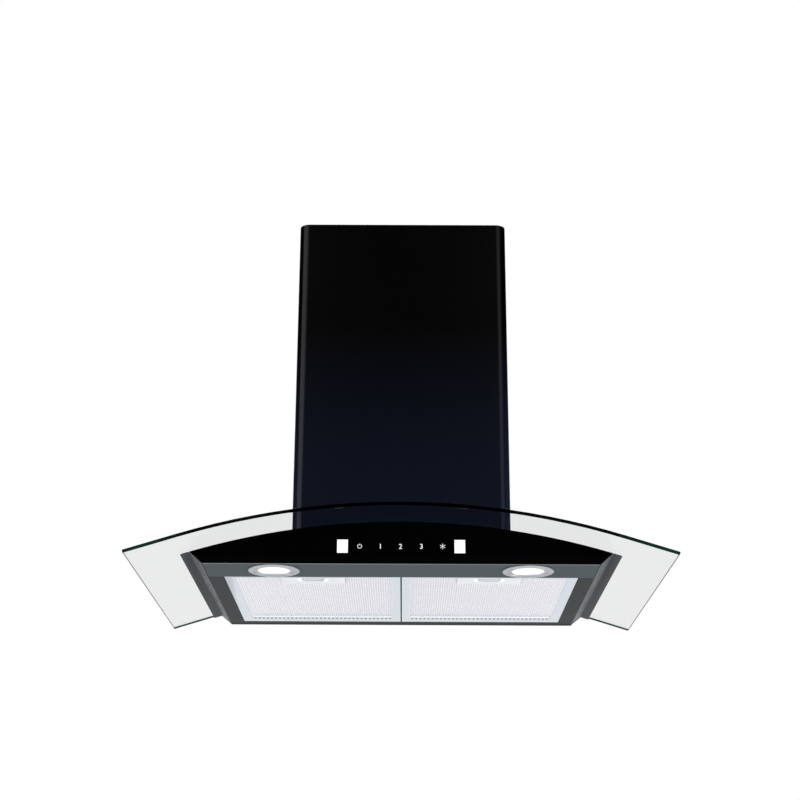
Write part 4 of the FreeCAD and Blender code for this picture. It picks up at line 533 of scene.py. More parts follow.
@dataclass(frozen=True)
class GlassFinish:
    """Clear sheet glass whose edges carry painted shade: near-black along the middle and green towards the
    ends, by position; the green is partly the glass's own tint. The rear edge stays clear.
    """

    name: str
    sheet: tuple[float, float, float]
    edge_middle: tuple[float, float, float]
    edge_end: tuple[float, float, float]
    green_span: tuple[float, float]
    bend: float
    shine: float
    edge_face: tuple[float, float] = (0.72, 0.9)
    rear_face: tuple[float, float] = (0.1, 0.4)
    rear_shade: float = 0.08
    rub: float = 0.015

    def build(self) -> bpy.types.Material:
        """Make the material.

        Returns:
            The material.
        """
        bench = MaterialBench(self.name)
        shader = bench.shader
        shader.inputs["Metallic"].default_value = 0.0
        shader.inputs["Transmission Weight"].default_value = 1.0
        shader.inputs["IOR"].default_value = self.bend
        shader.inputs["Specular IOR Level"].default_value = self.shine
        # Painted shade on the edge faces: near-black in the middle and green towards the ends; the rear edge is
        # left nearly clear.
        rim = bench.ranged(bench.size_along(bench.facing, "Z"), 1.0, 0.0, self.edge_face)
        ground = bench.ranged(bench.axis(bench.facing, "Y"), 1.0, self.rear_shade, self.rear_face)
        green = bench.ranged(bench.size_along(bench.object_space, "X"), 0.0, 1.0, self.green_span)
        edge = bench.blend("RGBA", green, self.edge_middle, self.edge_end)
        tint = bench.blend("RGBA", bench.calc("MULTIPLY", rim, ground), self.sheet, edge)
        bench.link(tint, shader.inputs["Base Color"])
        marks = bench.group(GRAIN_TREE)
        bench.link(bench.ranged(marks.outputs["Rub"], 0.0, self.rub), shader.inputs["Roughness"])
        return bench.material


@dataclass(frozen=True)
class GlowFinish:
    """A lit diffuser: its glow and colour drift a little with the thickness of the frosting."""

    name: str
    colour: tuple[float, float, float]
    strength: float
    gloss: tuple[float, float]
    fade: float = 0.96
    drift_scale: float = 60.0
    grain_depth: float = 0.01 * MM

    def build(self) -> bpy.types.Material:
        """Make the material.

        Returns:
            The material.
        """
        bench = MaterialBench(self.name)
        shader = bench.shader
        shader.inputs["Emission Strength"].default_value = self.strength
        tint = bench.drift(self.colour, tuple(self.fade * part for part in self.colour), self.drift_scale)
        bench.link(tint, shader.inputs["Base Color"])
        bench.link(tint, shader.inputs["Emission Color"])
        marks = bench.group(GRAIN_TREE)
        bench.link(bench.ranged(marks.outputs["Rub"], *self.gloss), shader.inputs["Roughness"])
        bench.bump(marks.outputs["Height"], self.grain_depth)
        return bench.material


FINISHES = {
    "clear_glass": GlassFinish(
        "Clear toughened glass", (0.82, 0.825, 0.825), (0.00001, 0.00002, 0.00002), (0.00004, 0.0010, 0.0005),
        (0.29, 0.36), 1.035, 0.5
    ),
    "black_gloss": SheetFinish(
        "Black gloss panel", (0.0002, 0.0002, 0.0004), (0.0004, 0.0004, 0.0008), (0.03, 0.06), shine=0.008,
        grain_scale=120.0, grain_depth=0.000002
    ),
    # Painted shade by height on the chimney covers: bluish low down, black at the top.
    "black_steel": SheetFinish(
        "Black satin enamel with painted shade by height", (0.0042, 0.0066, 0.0155), (0.0003, 0.0001, 0.0), (0.20, 0.28), shine=0.012,
        grain_scale=700.0, grain_depth=0.000004, marking=Marking.RISING
    ),
    "black_screw": SheetFinish(
        "Black screw", (0.012, 0.012, 0.013), (0.02, 0.02, 0.02), (0.25, 0.4), metal=0.6, grain_scale=1500.0
    ),
    "grey_steel": SheetFinish(
        "Dark grey satin paint", (0.034, 0.036, 0.039), (0.038, 0.040, 0.043), (0.30, 0.38), shine=0.01,
        grain_scale=1200.0, grain_depth=0.000006
    ),
    # Lighter copy of the grey paint for the lamp strip, as painted light, with painted light on its upright
    # walls.
    "lamp_strip_painted_light": SheetFinish(
        "Dark grey strip paint, painted lighter", (0.028, 0.042, 0.050), (0.15, 0.16, 0.165), (0.30, 0.38), shine=0.02,
        grain_scale=1200.0, grain_depth=0.000006, marking=Marking.FOLDED
    ),
    # Painted light on the upright walls and painted shade on the rear strip.
    "tray_painted_light": SheetFinish(
        "Dark grey paint with painted lit walls and shaded rear", (0.018, 0.021, 0.023), (0.084, 0.086, 0.088), (0.30, 0.38), shine=0.01,
        grain_scale=1200.0, grain_depth=0.000006, marking=Marking.FOLDED
    ),
    # Lighter copy of the grey paint for the deck flanges, as painted light.
    "deck_paint_painted_lighter": SheetFinish(
        "Charcoal deck paint, painted lighter", (0.054, 0.057, 0.063), (0.061, 0.064, 0.070), (0.34, 0.42), shine=0.01,
        grain_scale=1200.0, grain_depth=0.000006
    ),
    "zinc_steel": SheetFinish(
        "Zinc plated sheet", (0.50, 0.52, 0.53), (0.60, 0.62, 0.63), (0.32, 0.5), metal=1.0,
        grain=Grain.UPRIGHT, drift_scale=40.0
    ),
    "screw_steel": SheetFinish(
        "Plated screw", (0.55, 0.55, 0.54), (0.66, 0.66, 0.65), (0.2, 0.35), metal=1.0, grain_scale=2500.0
    ),
    "bright_steel": SheetFinish(
        "Ground shaft steel", (0.6, 0.6, 0.6), (0.68, 0.68, 0.68), (0.12, 0.2), metal=1.0, grain=Grain.ACROSS
    ),
    "motor_aluminium": SheetFinish(
        "Cast aluminium", (0.45, 0.46, 0.47), (0.55, 0.56, 0.57), (0.42, 0.6), metal=1.0, grain_scale=700.0,
        grain_depth=0.00006
    ),
    "filter_aluminium": SheetFinish(
        "Anodised filter part", (0.66, 0.72, 0.79), (0.70, 0.76, 0.82), (0.24, 0.34), metal=1.0,
        grain=Grain.FRONT_TO_BACK, drift_scale=12.0
    ),
    # Painted shade in a row of drain slots along the rear border.
    "slotted_frame": SheetFinish(
        "Anodised filter frame", (0.57, 0.63, 0.70), (0.60, 0.66, 0.72), (0.14, 0.22), metal=1.0,
        grain=Grain.FRONT_TO_BACK, drift_scale=12.0, marking=Marking.SLOTTED
    ),
    "bright_aluminium": SheetFinish(
        "Bright filter sheet", (0.82, 0.84, 0.86), (0.85, 0.87, 0.88), (0.34, 0.44), metal=1.0,
        grain=Grain.ACROSS, drift_scale=12.0
    ),
    "mesh_aluminium": FoilFinish(
        "Grease mesh foil", (0.93, 0.93, 0.96), (0.67, 0.67, 0.73), (0.24, 0.30), 420.0, 0.000003
    ),
    "bezel_metal": SheetFinish(
        "Satin chrome trim", (0.36, 0.38, 0.41), (0.42, 0.44, 0.47), (0.28, 0.36), metal=1.0,
        grain_scale=1600.0, grain_depth=0.000006
    ),
    "white_lens": GlowFinish("Lit frosted lens", (0.80, 0.79, 0.81), 0.14, (0.25, 0.35)),
    "white_window": GlowFinish("Lit white window", (0.80, 0.80, 0.80), 0.38, (0.15, 0.25)),
    "green_board": SheetFinish(
        "Circuit board", (0.02, 0.12, 0.05), (0.03, 0.16, 0.07), (0.35, 0.5), drift_scale=90.0
    ),
    "black_plastic": SheetFinish(
        "Black moulded plastic", (0.02, 0.02, 0.021), (0.028, 0.028, 0.03), (0.4, 0.55), grain_scale=1800.0,
        grain_depth=0.00004
    ),
    "grey_plastic": SheetFinish(
        "Pale grey plastic", (0.60, 0.62, 0.66), (0.65, 0.67, 0.71), (0.38, 0.5), grain_scale=1800.0,
        grain_depth=0.00003
    ),
    "black_rubber": SheetFinish(
        "Black foam rubber", (0.012, 0.012, 0.013), (0.02, 0.02, 0.02), (0.7, 0.85), grain_scale=1400.0,
        grain_depth=0.0001
    ),
}


class FinishStore:
    """Makes each finish once, when a piece first wears it."""

    def __init__(self) -> None:
        """Start with no material."""
        self.made: dict[str, bpy.types.Material] = {}

    def get(self, finish: str) -> bpy.types.Material:
        """Material of a finish.

        Args:
            finish: Name of the finish, which is the record's slot unless the piece wears another one.

        Returns:
            The material.
        """
        if finish not in self.made:
            self.made[finish] = FINISHES[finish].build()
        return self.made[finish]


STORE = FinishStore()
SLOT_OF = {part["node"]: part["material_slot"] for part in frame["record"]["subparts"]}
# The tray, the lamp strip and the deck wear copies of the grey paint with painted light and shade.
FINISH_OF = {
    "body_tray": "tray_painted_light", "lamp_panel": "lamp_strip_painted_light", "top_deck": "deck_paint_painted_lighter",
    "filter_frame_left": "slotted_frame", "filter_frame_right": "slotted_frame",
    "filter_handle_left": "bright_aluminium", "filter_handle_right": "bright_aluminium"
}
BODY_OF = {node: body for body, nodes in frame["record"]["behaviour"]["bodies"].items() for node in nodes}


# ------------------------------------------------------------------ hand tools

def select_only(piece: bpy.types.Object) -> None:
    """Deselect everything, then select one object and make it active.

    Args:
        piece: The object.
    """
    bpy.ops.object.select_all(action="DESELECT")
    piece.select_set(True)
    bpy.context.view_layer.objects.active = piece


def edit_all() -> None:
    """Enter edit mode with the whole mesh selected."""
    bpy.ops.object.mode_set(mode="EDIT")
    bpy.ops.mesh.select_all(action="SELECT")


def leave_edit() -> None:
    """Go back to object mode."""
    bpy.ops.object.mode_set(mode="OBJECT")


def placed(name: str) -> bpy.types.Object:
    """Name the shape that was just added and apply its place.

    Args:
        name: Name of the piece.

    Returns:
        The piece.
    """
    piece = bpy.context.object
    piece.name = name
    bpy.ops.object.transform_apply(location=True, rotation=True, scale=True)
    return piece


def give(piece: bpy.types.Object, body: str, slot: str, finish: str = "") -> bpy.types.Object:
    """Let a piece ride on a body and take a slot's finish.

    Args:
        piece: The piece.
        body: Name of the CAD body.
        slot: The record's material slot.
        finish: Name of another finish that the piece wears in that slot.

    Returns:
        The piece.
    """
    piece.data.materials.clear()
    piece.data.materials.append(STORE.get(finish or slot))
    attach(piece, body)
    LOG.info("%s: %d faces on %s", piece.name, len(piece.data.polygons), body)
    return piece


def clean_copy(node: str) -> bpy.types.Object:
    """Copy of a CAD node with joined faces and no stored normals, selected and active.

    Args:
        node: Name of the CAD node.

    Returns:
        The copy.
    """
    mesh = frame["nodes"][node].data.copy()
    piece = bpy.data.objects.new(node + "_finished", mesh)
    bpy.context.scene.collection.objects.link(piece)
    select_only(piece)
    if mesh.has_custom_normals:
        bpy.ops.mesh.customdata_custom_splitnormals_clear()
    edit_all()
    bpy.ops.mesh.remove_doubles(threshold=MERGE)
    bpy.ops.mesh.mark_sharp(clear=True)
    bpy.ops.mesh.dissolve_limited(angle_limit=math.radians(FLAT_FOLD))
    leave_edit()
    return piece


def stand_for(piece: bpy.types.Object, node: str) -> bpy.types.Object:
    """Let a finished piece take a CAD node's body, slot and place.

    Args:
        piece: The piece.
        node: Name of the CAD node.

    Returns:
        The piece.
    """
    give(piece, BODY_OF[node], SLOT_OF[node], FINISH_OF.get(node, ""))
    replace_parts(piece, node)
    return piece


def rounded_copy(
    node: str, width: float, segments: int = 2, sharp: float = 50.0, smooth: float = 20.0
) -> bpy.types.Object:
    """Copy of a CAD node with its sharp edges rounded, which then stands for the node.

    Args:
        node: Name of the CAD node.
        width: Width of the rounding in metres.
        segments: Faces across the rounding.
        sharp: Edges that fold by more than this are rounded, in degrees.
        smooth: Faces that meet at less than this are shaded as one, in degrees.

    Returns:
        The new piece.
    """
    piece = clean_copy(node)
    bevel = piece.modifiers.new("Edges", "BEVEL")
    bevel.width = width
    bevel.segments = segments
    bevel.limit_method = "ANGLE"
    bevel.angle_limit = math.radians(sharp)
    bpy.ops.object.modifier_apply(modifier=bevel.name)
    bpy.ops.object.shade_smooth_by_angle(angle=math.radians(smooth))
    return stand_for(piece, node)


def widened_copy(node: str, grow: float) -> bpy.types.Object:
    """Copy of a CAD node that reaches a little further sideways, front and back, and stands for the node.

    Args:
        node: Name of the CAD node.
        grow: How much further each side reaches, in metres.

    Returns:
        The new piece.
    """
    piece = clean_copy(node)
    xs = [vertex.co.x for vertex in piece.data.vertices]
    ys = [vertex.co.y for vertex in piece.data.vertices]
    wide, deep = max(xs) - min(xs), max(ys) - min(ys)
    middle = ((max(xs) + min(xs)) / 2, (max(ys) + min(ys)) / 2, 0.0)
    edit_all()
    bpy.ops.transform.resize(value=(1 + 2 * grow / wide, 1 + 2 * grow / deep, 1.0), center_override=middle)
    leave_edit()
    bpy.ops.object.shade_smooth_by_angle(angle=math.radians(FOIL_SMOOTH))
    return stand_for(piece, node)


def turned(
    name: str, outline: tuple[tuple[float, float], ...], centre: tuple[float, float], steps: int
) -> bpy.types.Object:
    """Ring made by spinning a closed outline about an upright axis.

    Args:
        name: Name of the piece.
        outline: (radius, height) corners in millimetres, in order round the section.
        centre: X and Y of the axis in metres.
        steps: Faces round the axis.

    Returns:
        The new piece.
    """
    bpy.ops.object.select_all(action="DESELECT")
    bpy.ops.mesh.primitive_plane_add(size=MM, location=(*centre, 0.0))
    piece = placed(name)
    edit_all()
    bpy.ops.mesh.merge(type="CENTER")
    corners = [(radius * MM, height * MM) for radius, height in outline]
    radius, height = corners[0]
    bpy.ops.transform.translate(value=(radius, 0.0, height))
    for after in corners[1:] + corners[:1]:
        step = (after[0] - radius, 0.0, after[1] - height)
        bpy.ops.mesh.extrude_vertices_move(TRANSFORM_OT_translate={"value": step})
        radius, height = after
    bpy.ops.mesh.select_all(action="SELECT")
    bpy.ops.mesh.remove_doubles(threshold=MERGE)
    bpy.ops.mesh.spin(steps=steps, angle=math.tau, center=(centre[0], centre[1], 0.0), axis=(0.0, 0.0, 1.0))
    bpy.ops.mesh.select_all(action="SELECT")
    bpy.ops.mesh.remove_doubles(threshold=MERGE)
    bpy.ops.mesh.normals_make_consistent(inside=False)
    leave_edit()
    bpy.ops.object.shade_smooth_by_angle(angle=math.radians(TURNED_SMOOTH))
    return piece


# ------------------------------------------------------------------ assemblies

@dataclass
class SheetMetal:
    """The body's folded sheets and the chimney covers."""

    fold: float = 0.25 * MM
    cover_fold: float = 0.35 * MM
    sheets: tuple[str, ...] = ("body_tray", "lamp_panel", "top_deck")
    covers: tuple[str, ...] = ("lower_chimney", "upper_chimney")

    def make(self) -> None:
        """Round the edges that show, and list the covers for the lamps that shine on them alone."""
        for node in self.sheets:
            rounded_copy(node, self.fold)
        lit = bpy.data.collections.new(COVERS_LIT)
        for node in self.covers:
            lit.objects.link(rounded_copy(node, self.cover_fold))


@dataclass
class GlassCanopy:
    """The arched glass sheet with its ground edges."""

    arris: float = 0.6 * MM
    shaded_as_one: float = 8.0

    def make(self) -> None:
        """Grind the glass's edges."""
        rounded_copy("glass_canopy", self.arris, smooth=self.shaded_as_one)


@dataclass
class FrontPanel:
    """The black panel and its printed signs: power ring, three numbers and a lamp sign."""

    edge: float = 0.5 * MM
    face: float = -426.0 * MM
    height: float = 24.2 * MM
    pitch: float = 29.0 * MM
    print_depth: float = 0.05 * MM
    digit_height: float = 7.0 * MM
    ring_outer: float = 3.2 * MM
    stroke: float = 0.65 * MM
    ring_gap: float = 22.0
    bar_length: float = 2.6 * MM
    ray_start: float = 1.5 * MM
    ray_end: float = 3.9 * MM
    dot_radius: float = 1.05 * MM
    ring_steps: int = 48
    dot_steps: int = 24
    rays: int = 6
    nudge: tuple[float, ...] = (0.0, 0.0, -0.9 * MM, -0.7 * MM, 0.0)

    def make(self) -> None:
        """Build the panel and the signs, from left to right."""
        rounded_copy("front_panel", self.edge, segments=3)
        self.stand_up(self.power_sign(), -2)
        for index, text in enumerate(("1", "2", "3"), -1):
            self.stand_up(self.number(text), index)
        self.stand_up(self.lamp_sign(), 2)

    def stand_up(self, sign: bpy.types.Object, place: int) -> None:
        """Lift a sign that lies flat round the origin onto the panel's face.

        Args:
            sign: The sign, drawn in the XY plane.
            place: Which key it belongs to, counted from the middle one.
        """
        select_only(sign)
        sign.rotation_euler = (math.radians(90), 0.0, 0.0)
        sign.location = (place * self.pitch + self.nudge[place + 2], self.face, self.height)
        bpy.ops.object.transform_apply(location=True, rotation=True, scale=True)
        give(sign, "housing", "white_window")

    def thicken(self) -> None:
        """Give the flat sign being edited its thickness, and leave edit mode."""
        bpy.ops.mesh.select_all(action="SELECT")
        bpy.ops.mesh.extrude_region_move(TRANSFORM_OT_translate={"value": (0.0, 0.0, self.print_depth)})
        bpy.ops.mesh.select_all(action="SELECT")
        bpy.ops.mesh.normals_make_consistent(inside=False)
        leave_edit()

    def number(self, text: str) -> bpy.types.Object:
        """One number.

        Args:
            text: The number.

        Returns:
            The sign.
        """
        bpy.ops.object.select_all(action="DESELECT")
        bpy.ops.object.text_add(location=(0.0, 0.0, 0.0))
        bpy.context.object.data.body = text
        bpy.ops.object.convert(target="MESH")
        piece = bpy.context.object
        piece.name = "key_number_" + text
        xs = [vertex.co.x for vertex in piece.data.vertices]
        ys = [vertex.co.y for vertex in piece.data.vertices]
        scale = self.digit_height / (max(ys) - min(ys))
        piece.scale = (scale, scale, scale)
        piece.location = (-scale * (max(xs) + min(xs)) / 2, -scale * (max(ys) + min(ys)) / 2, 0.0)
        bpy.ops.object.transform_apply(location=True, rotation=True, scale=True)
        edit_all()
        bpy.ops.mesh.remove_doubles(threshold=MERGE / 2)
        self.thicken()
        return piece

    def power_sign(self) -> bpy.types.Object:
        """Open ring with a short bar in its gap.

        Returns:
            The sign.
        """
        bpy.ops.object.select_all(action="DESELECT")
        bpy.ops.mesh.primitive_circle_add(vertices=self.ring_steps, radius=self.ring_outer, fill_type="NGON")
        piece = placed("key_power_sign")
        edit_all()
        bpy.ops.mesh.inset(thickness=self.stroke)
        bpy.ops.mesh.delete(type="FACE")
        leave_edit()
        for face in piece.data.polygons:
            turn = math.degrees(math.atan2(face.center.x, face.center.y))
            face.select = abs(turn) < self.ring_gap
        bpy.ops.object.mode_set(mode="EDIT")
        bpy.ops.mesh.delete(type="FACE")
        bpy.ops.mesh.select_all(action="DESELECT")
        middle = (0.0, self.ring_outer - self.bar_length / 3, 0.0)
        bpy.ops.mesh.primitive_plane_add(size=1.0, location=middle)
        bpy.ops.transform.resize(value=(self.stroke, self.bar_length, 1.0), center_override=middle)
        self.thicken()
        return piece

    def lamp_sign(self) -> bpy.types.Object:
        """Dot with six rays.

        Returns:
            The sign.
        """
        bpy.ops.object.select_all(action="DESELECT")
        bpy.ops.mesh.primitive_circle_add(vertices=self.dot_steps, radius=self.dot_radius, fill_type="NGON")
        piece = placed("key_lamp_sign")
        bpy.ops.object.mode_set(mode="EDIT")
        length = self.ray_end - self.ray_start
        middle = (self.ray_end + self.ray_start) / 2
        for ray in range(self.rays):
            turn = math.tau * (ray / self.rays + 0.25)
            bpy.ops.mesh.select_all(action="DESELECT")
            spot = (middle * math.cos(turn), middle * math.sin(turn), 0.0)
            bpy.ops.mesh.primitive_plane_add(size=length, location=spot, rotation=(0.0, 0.0, turn))
            bpy.ops.mesh.merge(type="CENTER")
            start = (self.ray_start * math.cos(turn), self.ray_start * math.sin(turn), 0.0)
            half = (-self.stroke / 2 * math.sin(turn), self.stroke / 2 * math.cos(turn), 0.0)
            run = (length * math.cos(turn), length * math.sin(turn), 0.0)
            bpy.ops.transform.translate(value=[s - c - h for s, c, h in zip(start, spot, half)])
            bpy.ops.mesh.extrude_vertices_move(TRANSFORM_OT_translate={"value": [2 * h for h in half]})
            bpy.ops.mesh.select_linked()
            bpy.ops.mesh.extrude_region_move(TRANSFORM_OT_translate={"value": run})
        self.thicken()
        return piece


@dataclass
class LampPair:
    """The two lamps: chrome trim rings, and lenses with pressed rings."""

    centre_x: float = 180.4 * MM
    centre_y: float = -381.5 * MM
    steps: int = 96
    trim: tuple[tuple[float, float], ...] = (
        (23.0, -0.5), (23.0, -0.8), (23.15, -0.92), (23.4, -0.95), (23.6, -0.88), (23.75, -0.7), (24.1, -0.62),
        (24.5, -0.68), (24.9, -0.8), (27.9, -0.97), (28.1, -0.6), (29.1, -0.6), (29.3, -1.05), (31.9, -1.2),
        (32.3, -1.36), (32.8, -1.44), (33.3, -1.45), (35.3, -1.45), (35.9, -1.36), (36.3, -1.12), (36.5, -0.8),
        (36.5, -0.55), (36.4, -0.46), (32.5, -0.45), (32.5, 5.8), (32.3, 6.0), (30.7, 6.0), (30.5, 5.8),
        (30.5, -0.45), (23.1, -0.45)
    )
    lens: tuple[tuple[float, float], ...] = (
        (30.3, -0.35), (30.3, 1.5), (30.1, 1.6), (0.0, 1.6), (0.0, 0.6), (6.0, 0.59), (6.4, 0.53), (6.8, 0.59),
        (12.0, 0.56), (12.4, 0.5), (12.8, 0.56), (18.0, 0.52), (18.4, 0.46), (18.8, 0.52), (23.2, 0.45),
        (23.6, 0.3), (23.8, -0.35)
    )

    def make(self) -> None:
        """Build both lamps."""
        for side, name in ((-1, "left"), (1, "right")):
            centre = (side * self.centre_x, self.centre_y)
            trim = turned("lamp_trim_" + name, self.trim, centre, self.steps)
            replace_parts(give(trim, "housing", "bezel_metal"), "lamp_bezel_" + name)
            lens = turned("lamp_glow_" + name, self.lens, centre, self.steps)
            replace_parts(give(lens, "housing", "white_lens"), "lamp_lens_" + name)


@dataclass
class GreaseFilters:
    """The two filters: rounded frames, handles and latches, and the folded mesh with its hem and a black strip
    of painted shade over the drain holes.
    """

    frame_edge: float = 0.25 * MM
    handle_edge: float = 0.6 * MM
    latch_edge: float = 0.4 * MM
    mesh_reach: float = 0.28 * MM
    opening: tuple[float, float] = (227.4 * MM, 280.4 * MM)
    opening_middle: tuple[float, float] = (126.75 * MM, -193.75 * MM)
    hem_base: float = 1.33 * MM
    hem_reach: float = 3.2 * MM
    hem_rise: float = 2.35 * MM
    hem_sheet: float = 0.3 * MM
    hole_shade_size: tuple[float, float, float] = (225.0 * MM, 4.0 * MM, 0.2 * MM)
    hole_shade_middle: tuple[float, float, float] = (126.75 * MM, -51.2 * MM, 1.43 * MM)

    def make(self) -> None:
        """Add each mesh's folded hem and a black strip of painted shade over the holes, and finish the filter
        parts.
        """
        for side, name in ((-1, "left"), (1, "right")):
            self.hem(side, name)
            self.hole_shade_strip(side, name)
            rounded_copy("filter_frame_" + name, self.frame_edge)
            rounded_copy("filter_handle_" + name, self.handle_edge, segments=3)
            rounded_copy("filter_latch_" + name, self.latch_edge)
            widened_copy("filter_mesh_" + name, self.mesh_reach)

    def hem(self, side: int, name: str) -> None:
        """Sloping fold that leads from the frame's lip up to the mesh, all the way round.

        Args:
            side: -1 for the left filter, 1 for the right one.
            name: The filter's name.
        """
        bpy.ops.object.select_all(action="DESELECT")
        middle = (side * self.opening_middle[0], self.opening_middle[1], self.hem_base)
        bpy.ops.mesh.primitive_plane_add(size=1.0, location=middle)
        piece = placed("filter_hem_" + name)
        edit_all()
        bpy.ops.transform.resize(value=(*self.opening, 1.0), center_override=middle)
        bpy.ops.mesh.inset(thickness=self.hem_reach, depth=self.hem_rise)
        bpy.ops.mesh.delete(type="FACE")
        bpy.ops.mesh.select_all(action="SELECT")
        bpy.ops.mesh.extrude_region_move(TRANSFORM_OT_translate={"value": (0.0, 0.0, self.hem_sheet)})
        bpy.ops.mesh.select_all(action="SELECT")
        bpy.ops.mesh.normals_make_consistent(inside=False)
        leave_edit()
        give(piece, "filter_" + name, "filter_aluminium", "bright_aluminium")

    def hole_shade_strip(self, side: int, name: str) -> None:
        """Thin black strip over the frame's drain holes, a painted shade so that they show dark from below.

        Args:
            side: -1 for the left filter, 1 for the right one.
            name: The filter's name.
        """
        bpy.ops.object.select_all(action="DESELECT")
        middle = (side * self.hole_shade_middle[0], *self.hole_shade_middle[1:])
        bpy.ops.mesh.primitive_cube_add(size=1.0, location=middle)
        bpy.context.object.scale = self.hole_shade_size
        piece = placed("filter_hole_shade_" + name)
        edit_all()
        bpy.ops.mesh.bevel(offset=self.hole_shade_size[2] / 4, segments=2, affect="EDGES")
        leave_edit()
        # The black strip stands for the shade behind the holes.
        give(piece, "filter_" + name, "black_rubber")


@dataclass
class InnerUnit:
    """The parts inside, which show when the filters or the upper cover are open."""

    def make(self) -> None:
        """Give every CAD node that still shows its slot's finish."""
        for node, piece in frame["nodes"].items():
            if not piece.hide_render:
                piece.data.materials.clear()
                piece.data.materials.append(STORE.get(SLOT_OF[node]))
                LOG.info("%s: finished as %s", node, SLOT_OF[node])


@dataclass(frozen=True)
class SoftBox:
    """One soft lamp: how far round from the front it hangs, how high, how far off, and how strong.

    A negative distance puts it on the right. A lamp that is mirrored only shows in the chimney covers'
    gloss, and lights no matt surface.
    """

    name: str
    azimuth: float
    height: float
    distance: float
    size: tuple[float, float]
    power: float
    mirrored_only: bool


SOFT_BOXES = (
    SoftBox("left_box", 46.0, 1.45, 3.0, (2.7, 1.9), 470.0, True),
    SoftBox("right_box", 34.0, 1.45, -3.0, (1.8, 1.9), 180.0, True),
    SoftBox("left_low_box", 82.0, -0.2, 2.2, (1.2, 0.8), 50.0, False),
    SoftBox("right_low_box", 82.0, -0.2, -2.2, (1.2, 0.8), 75.0, False)
)


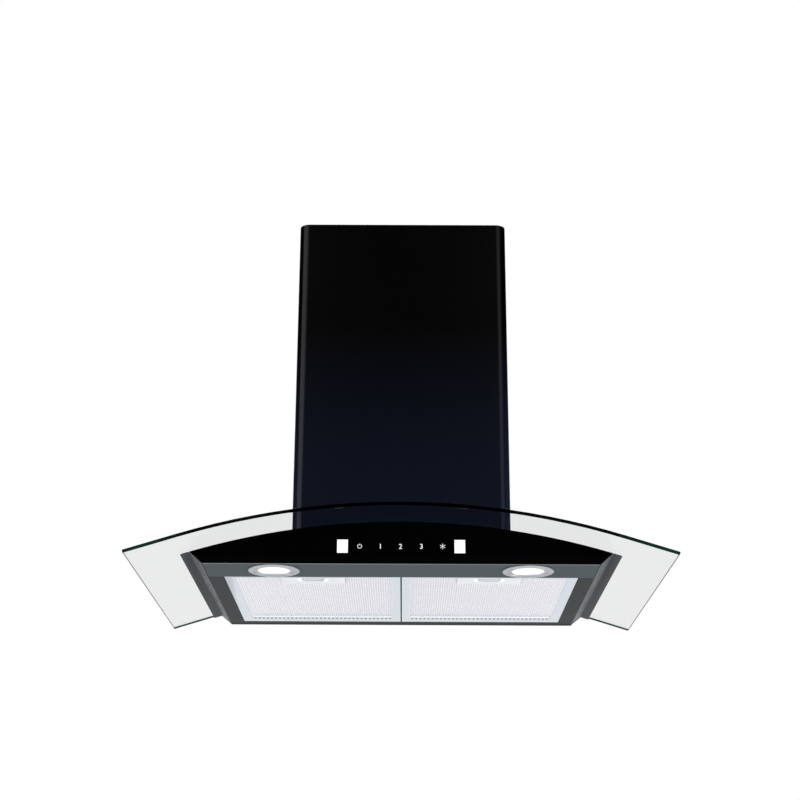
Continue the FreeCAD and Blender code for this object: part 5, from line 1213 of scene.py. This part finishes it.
@dataclass
class Studio:
    """Pale floor, white surroundings, soft lamps and the photograph's camera."""

    camera_place: tuple[float, float, float] = (0.003317, -2.553763, -0.522195)
    turn: float = 0.158
    rise: float = 19.743
    roll: float = 0.267
    lens: float = 70.44
    sensor: float = 36.0
    floor_level: float = -1.6
    floor_size: float = 9.0
    floor_cuts: int = 8
    floor_tints: tuple[float, float] = (0.80, 0.78)
    floor_drift: float = 6.0
    floor_roughness: float = 0.9
    ambient: float = 0.9
    flag_distance: float = 1.6
    flag_middle: tuple[float, float] = (0.75, 1.0)
    flag_size: float = 3.0
    lamp_aim: float = -0.25

    def make(self) -> None:
        """Set up all of it."""
        self.aim_camera()
        self.lay_floor()
        self.light_world()
        for box in SOFT_BOXES:
            self.softbox(box)
        self.hang_flag("left_flag", -self.flag_distance)
        self.hang_flag("right_flag", self.flag_distance)
        bpy.context.scene.view_settings.view_transform = "Standard"

    def aim_camera(self) -> None:
        """Place the camera as the photograph was taken."""
        data = bpy.data.cameras.new("photo_camera")
        data.sensor_width = self.sensor
        data.lens = self.lens
        camera = bpy.data.objects.new("photo_camera", data)
        bpy.context.scene.collection.objects.link(camera)
        turn = Matrix.Rotation(math.radians(self.turn), 4, "Z")
        rise = Matrix.Rotation(math.radians(90.0 + self.rise), 4, "X")
        roll = Matrix.Rotation(math.radians(self.roll), 4, "Z")
        camera.matrix_world = Matrix.Translation(self.camera_place) @ turn @ rise @ roll
        bpy.context.scene.camera = camera

    def lay_floor(self) -> None:
        """Pale floor under the hood."""
        bpy.ops.object.select_all(action="DESELECT")
        bpy.ops.mesh.primitive_plane_add(size=self.floor_size, location=(0.0, 0.0, self.floor_level))
        floor = placed("studio_floor")
        edit_all()
        bpy.ops.mesh.subdivide(number_cuts=self.floor_cuts)
        leave_edit()
        bench = MaterialBench("Pale studio floor")
        main, other = ((tint, tint, tint) for tint in self.floor_tints)
        bench.link(bench.drift(main, other, self.floor_drift), bench.shader.inputs["Base Color"])
        bench.shader.inputs["Roughness"].default_value = self.floor_roughness
        floor.data.materials.append(bench.material)

    def hang_flag(self, name: str, across: float) -> None:
        """Black card beside the hood that only shows in reflections, so that glossy sides end dark.

        Args:
            name: Name of the card.
            across: Its X.
        """
        bpy.ops.object.select_all(action="DESELECT")
        place = (across, *self.flag_middle)
        upright = (0.0, math.radians(90), 0.0)
        bpy.ops.mesh.primitive_plane_add(size=self.flag_size, location=place, rotation=upright)
        card = placed(name)
        card.data.materials.append(STORE.get("black_rubber"))
        card.visible_camera = False
        card.visible_diffuse = False
        card.visible_transmission = False
        card.visible_shadow = False

    def light_world(self) -> None:
        """White where the camera, metal and glass look past the hood, and plain ambient light elsewhere."""
        world = bpy.data.worlds.new("studio_world")
        bpy.context.scene.world = world
        world.use_nodes = True
        desk = NodeDesk(world.node_tree)
        sky = desk.tree.nodes["Background"]
        sky.inputs["Color"].default_value = (1.0, 1.0, 1.0, 1.0)
        path = desk.node("ShaderNodeLightPath")
        seen = path.outputs["Is Camera Ray"]
        for way in ("Is Glossy Ray", "Is Transmission Ray"):
            seen = desk.calc("MAXIMUM", seen, path.outputs[way])
        desk.link(desk.ranged(seen, self.ambient, 1.0), sky.inputs["Strength"])

    def softbox(self, box: SoftBox) -> None:
        """Hang one soft rectangular lamp that faces the hood.

        Args:
            box: The lamp's place, size and power.
        """
        data = bpy.data.lights.new(box.name, "AREA")
        data.shape = "RECTANGLE"
        data.size, data.size_y = box.size
        data.energy = box.power
        lamp = bpy.data.objects.new(box.name, data)
        bpy.context.scene.collection.objects.link(lamp)
        aim = Vector((0.0, self.lamp_aim, box.height / 2))
        turn = math.radians(box.azimuth)
        away = Vector((-box.distance * math.sin(turn), -abs(box.distance) * math.cos(turn), box.height / 2))
        lamp.location = aim + away
        lamp.rotation_euler = (aim - lamp.location).to_track_quat("-Z", "Y").to_euler()
        lamp.visible_camera = False
        if box.mirrored_only:
            lamp.visible_diffuse = False
            lamp.light_linking.receiver_collection = bpy.data.collections[COVERS_LIT]


def write_sizes() -> None:
    """Bring the scene's placements up to date."""
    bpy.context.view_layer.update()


def main() -> None:
    """Dress the hood, piece by piece, and set up the studio."""
    logging.basicConfig(level=logging.INFO, format="%(name)s: %(message)s")
    for assembly in (SheetMetal, GlassCanopy, FrontPanel, LampPair, GreaseFilters, InnerUnit, Studio):
        LOG.info("building %s", assembly.__name__)
        assembly().make()
    write_sizes()


if __name__ == "__main__":
    main()
